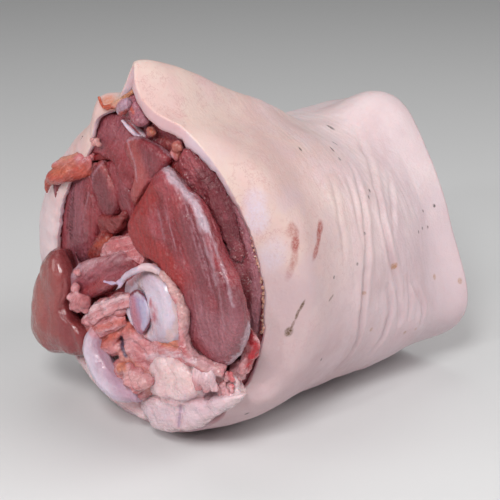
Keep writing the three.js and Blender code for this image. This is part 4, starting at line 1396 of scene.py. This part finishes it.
# %% Fat, muscles and tendons of the sawn end
end_ring = sleeve(np.linspace(0, 345, 24), 1.0)[:, 1:] * 0.955 + (0, 2.3)
end_fat = pillow("end_fat", end_ring, traced=BACK_X - 0.5, at=BACK_X - 0.5, dome=1.2, root=8,
    crown=FLAT_CROWN, facing=1)
finish_piece(end_fat, fat, "fat", voxel=0.8, smooth=2, lumps=((9, 0.5), (3, 0.25)), seed=50)
END_MUSCLES = [
    [(-8, 30), (-30, 25), (-42, 45), (-38, 68), (-20, 75), (-12, 60)],
    [(28, 30), (38, 45), (36, 62), (24, 78), (14, 80), (14, 60), (26, 48)],
    [(-12, 80), (0, 78), (12, 84), (8, 95), (-10, 93)],
    [(-5, 22), (15, 20), (25, 22), (15, 10), (-8, 10), (-20, 14)],
]
for index, outline in enumerate(END_MUSCLES):
    piece = pillow(f"end_muscle_{index + 1}", outline, traced=BACK_X, at=BACK_X, dome=1.8, root=8,
        crown=FLAT_CROWN, facing=1)
    finish_piece(piece, meat_cut, "meat", voxel=0.6, smooth=3, lumps=((6, 0.5), (2, 0.3)),
        lean=30 * index, seed=51 + index)
END_TENDONS = [(-2, 78, 2.6), (30, 86, 2.2), (-34, 20, 2.4), (22, 84, 1.8), (-12, 25, 2.0)]  # y, z, size
for index, (y, z, size) in enumerate(END_TENDONS):
    piece = ball(f"end_tendon_{index + 1}", (BACK_X - 1, y, z), (3.2, size * 1.4, size))
    finish_piece(piece, cartilage, "fat", voxel=0.5, smooth=2, lumps=((3, 0.4),), seed=60 + index)

# %% [markdown]
# ## Camera, light and floor
# The camera looks at the cut face and the right side from a little above, with a long lens. Soft
# lights from above and the left give the even light of a food studio.

# %% Camera
AZIMUTH, ELEVATION, DISTANCE = -45.0, 20.0, 0.6
AIM = Vector(metres((66, 0, 53)))
side, rise = math.radians(AZIMUTH), math.radians(ELEVATION)
backward = Vector((math.sin(side) * math.cos(rise), -math.cos(side) * math.cos(rise), math.sin(rise)))
bpy.ops.object.camera_add(location=AIM + backward * DISTANCE)
camera = bpy.context.object
camera.rotation_euler = backward.to_track_quat("Z", "Y").to_euler()
camera.data.lens = 110
camera.data.sensor_width = 36
camera.data.clip_start = 0.01
bpy.context.scene.camera = camera

# %% Lights and floor
def soft_light(name, place, size, power, tint=(1, 1, 1)):
    bpy.ops.object.light_add(type="AREA", location=place)
    lamp = bpy.context.object
    lamp.name = name
    lamp.rotation_euler = (Vector(place) - Vector((0, 0, 0.06))).to_track_quat("Z", "Y").to_euler()
    lamp.data.shape = "DISK"
    lamp.data.size = size
    lamp.data.energy = power
    lamp.data.color = tint


soft_light("key", (-0.55, -0.4, 0.6), 0.22, 4.0)
soft_light("fill", (0.3, -0.75, 0.75), 0.6, 3.6)
soft_light("top", (0.1, 0.25, 0.9), 0.7, 1.6)
soft_light("left", (-0.8, 0.35, 0.35), 0.4, 1.85)
soft_light("right", (0.65, -0.55, 0.45), 0.4, 1.2)
soft_light("spark", (-0.62, -0.2, 0.42), 0.05, 0.9)

world = bpy.data.worlds.new("studio")
bpy.context.scene.world = world
world.use_nodes = True
world.node_tree.nodes["Background"].inputs[0].default_value = (1.0, 1.0, 1.0, 1.0)
world.node_tree.nodes["Background"].inputs[1].default_value = 0.17

bpy.ops.object.select_all(action="DESELECT")
bpy.ops.mesh.primitive_plane_add(size=8.0)
floor = bpy.context.object
floor.name = "floor"
paper = bpy.data.materials.new("paper")
paper.use_nodes = True
paper.node_tree.nodes["Principled BSDF"].inputs["Base Color"].default_value = (0.66, 0.66, 0.66, 1)
paper.node_tree.nodes["Principled BSDF"].inputs["Roughness"].default_value = 0.8
floor.data.materials.append(paper)
bpy.context.scene.view_settings.view_transform = "Standard"
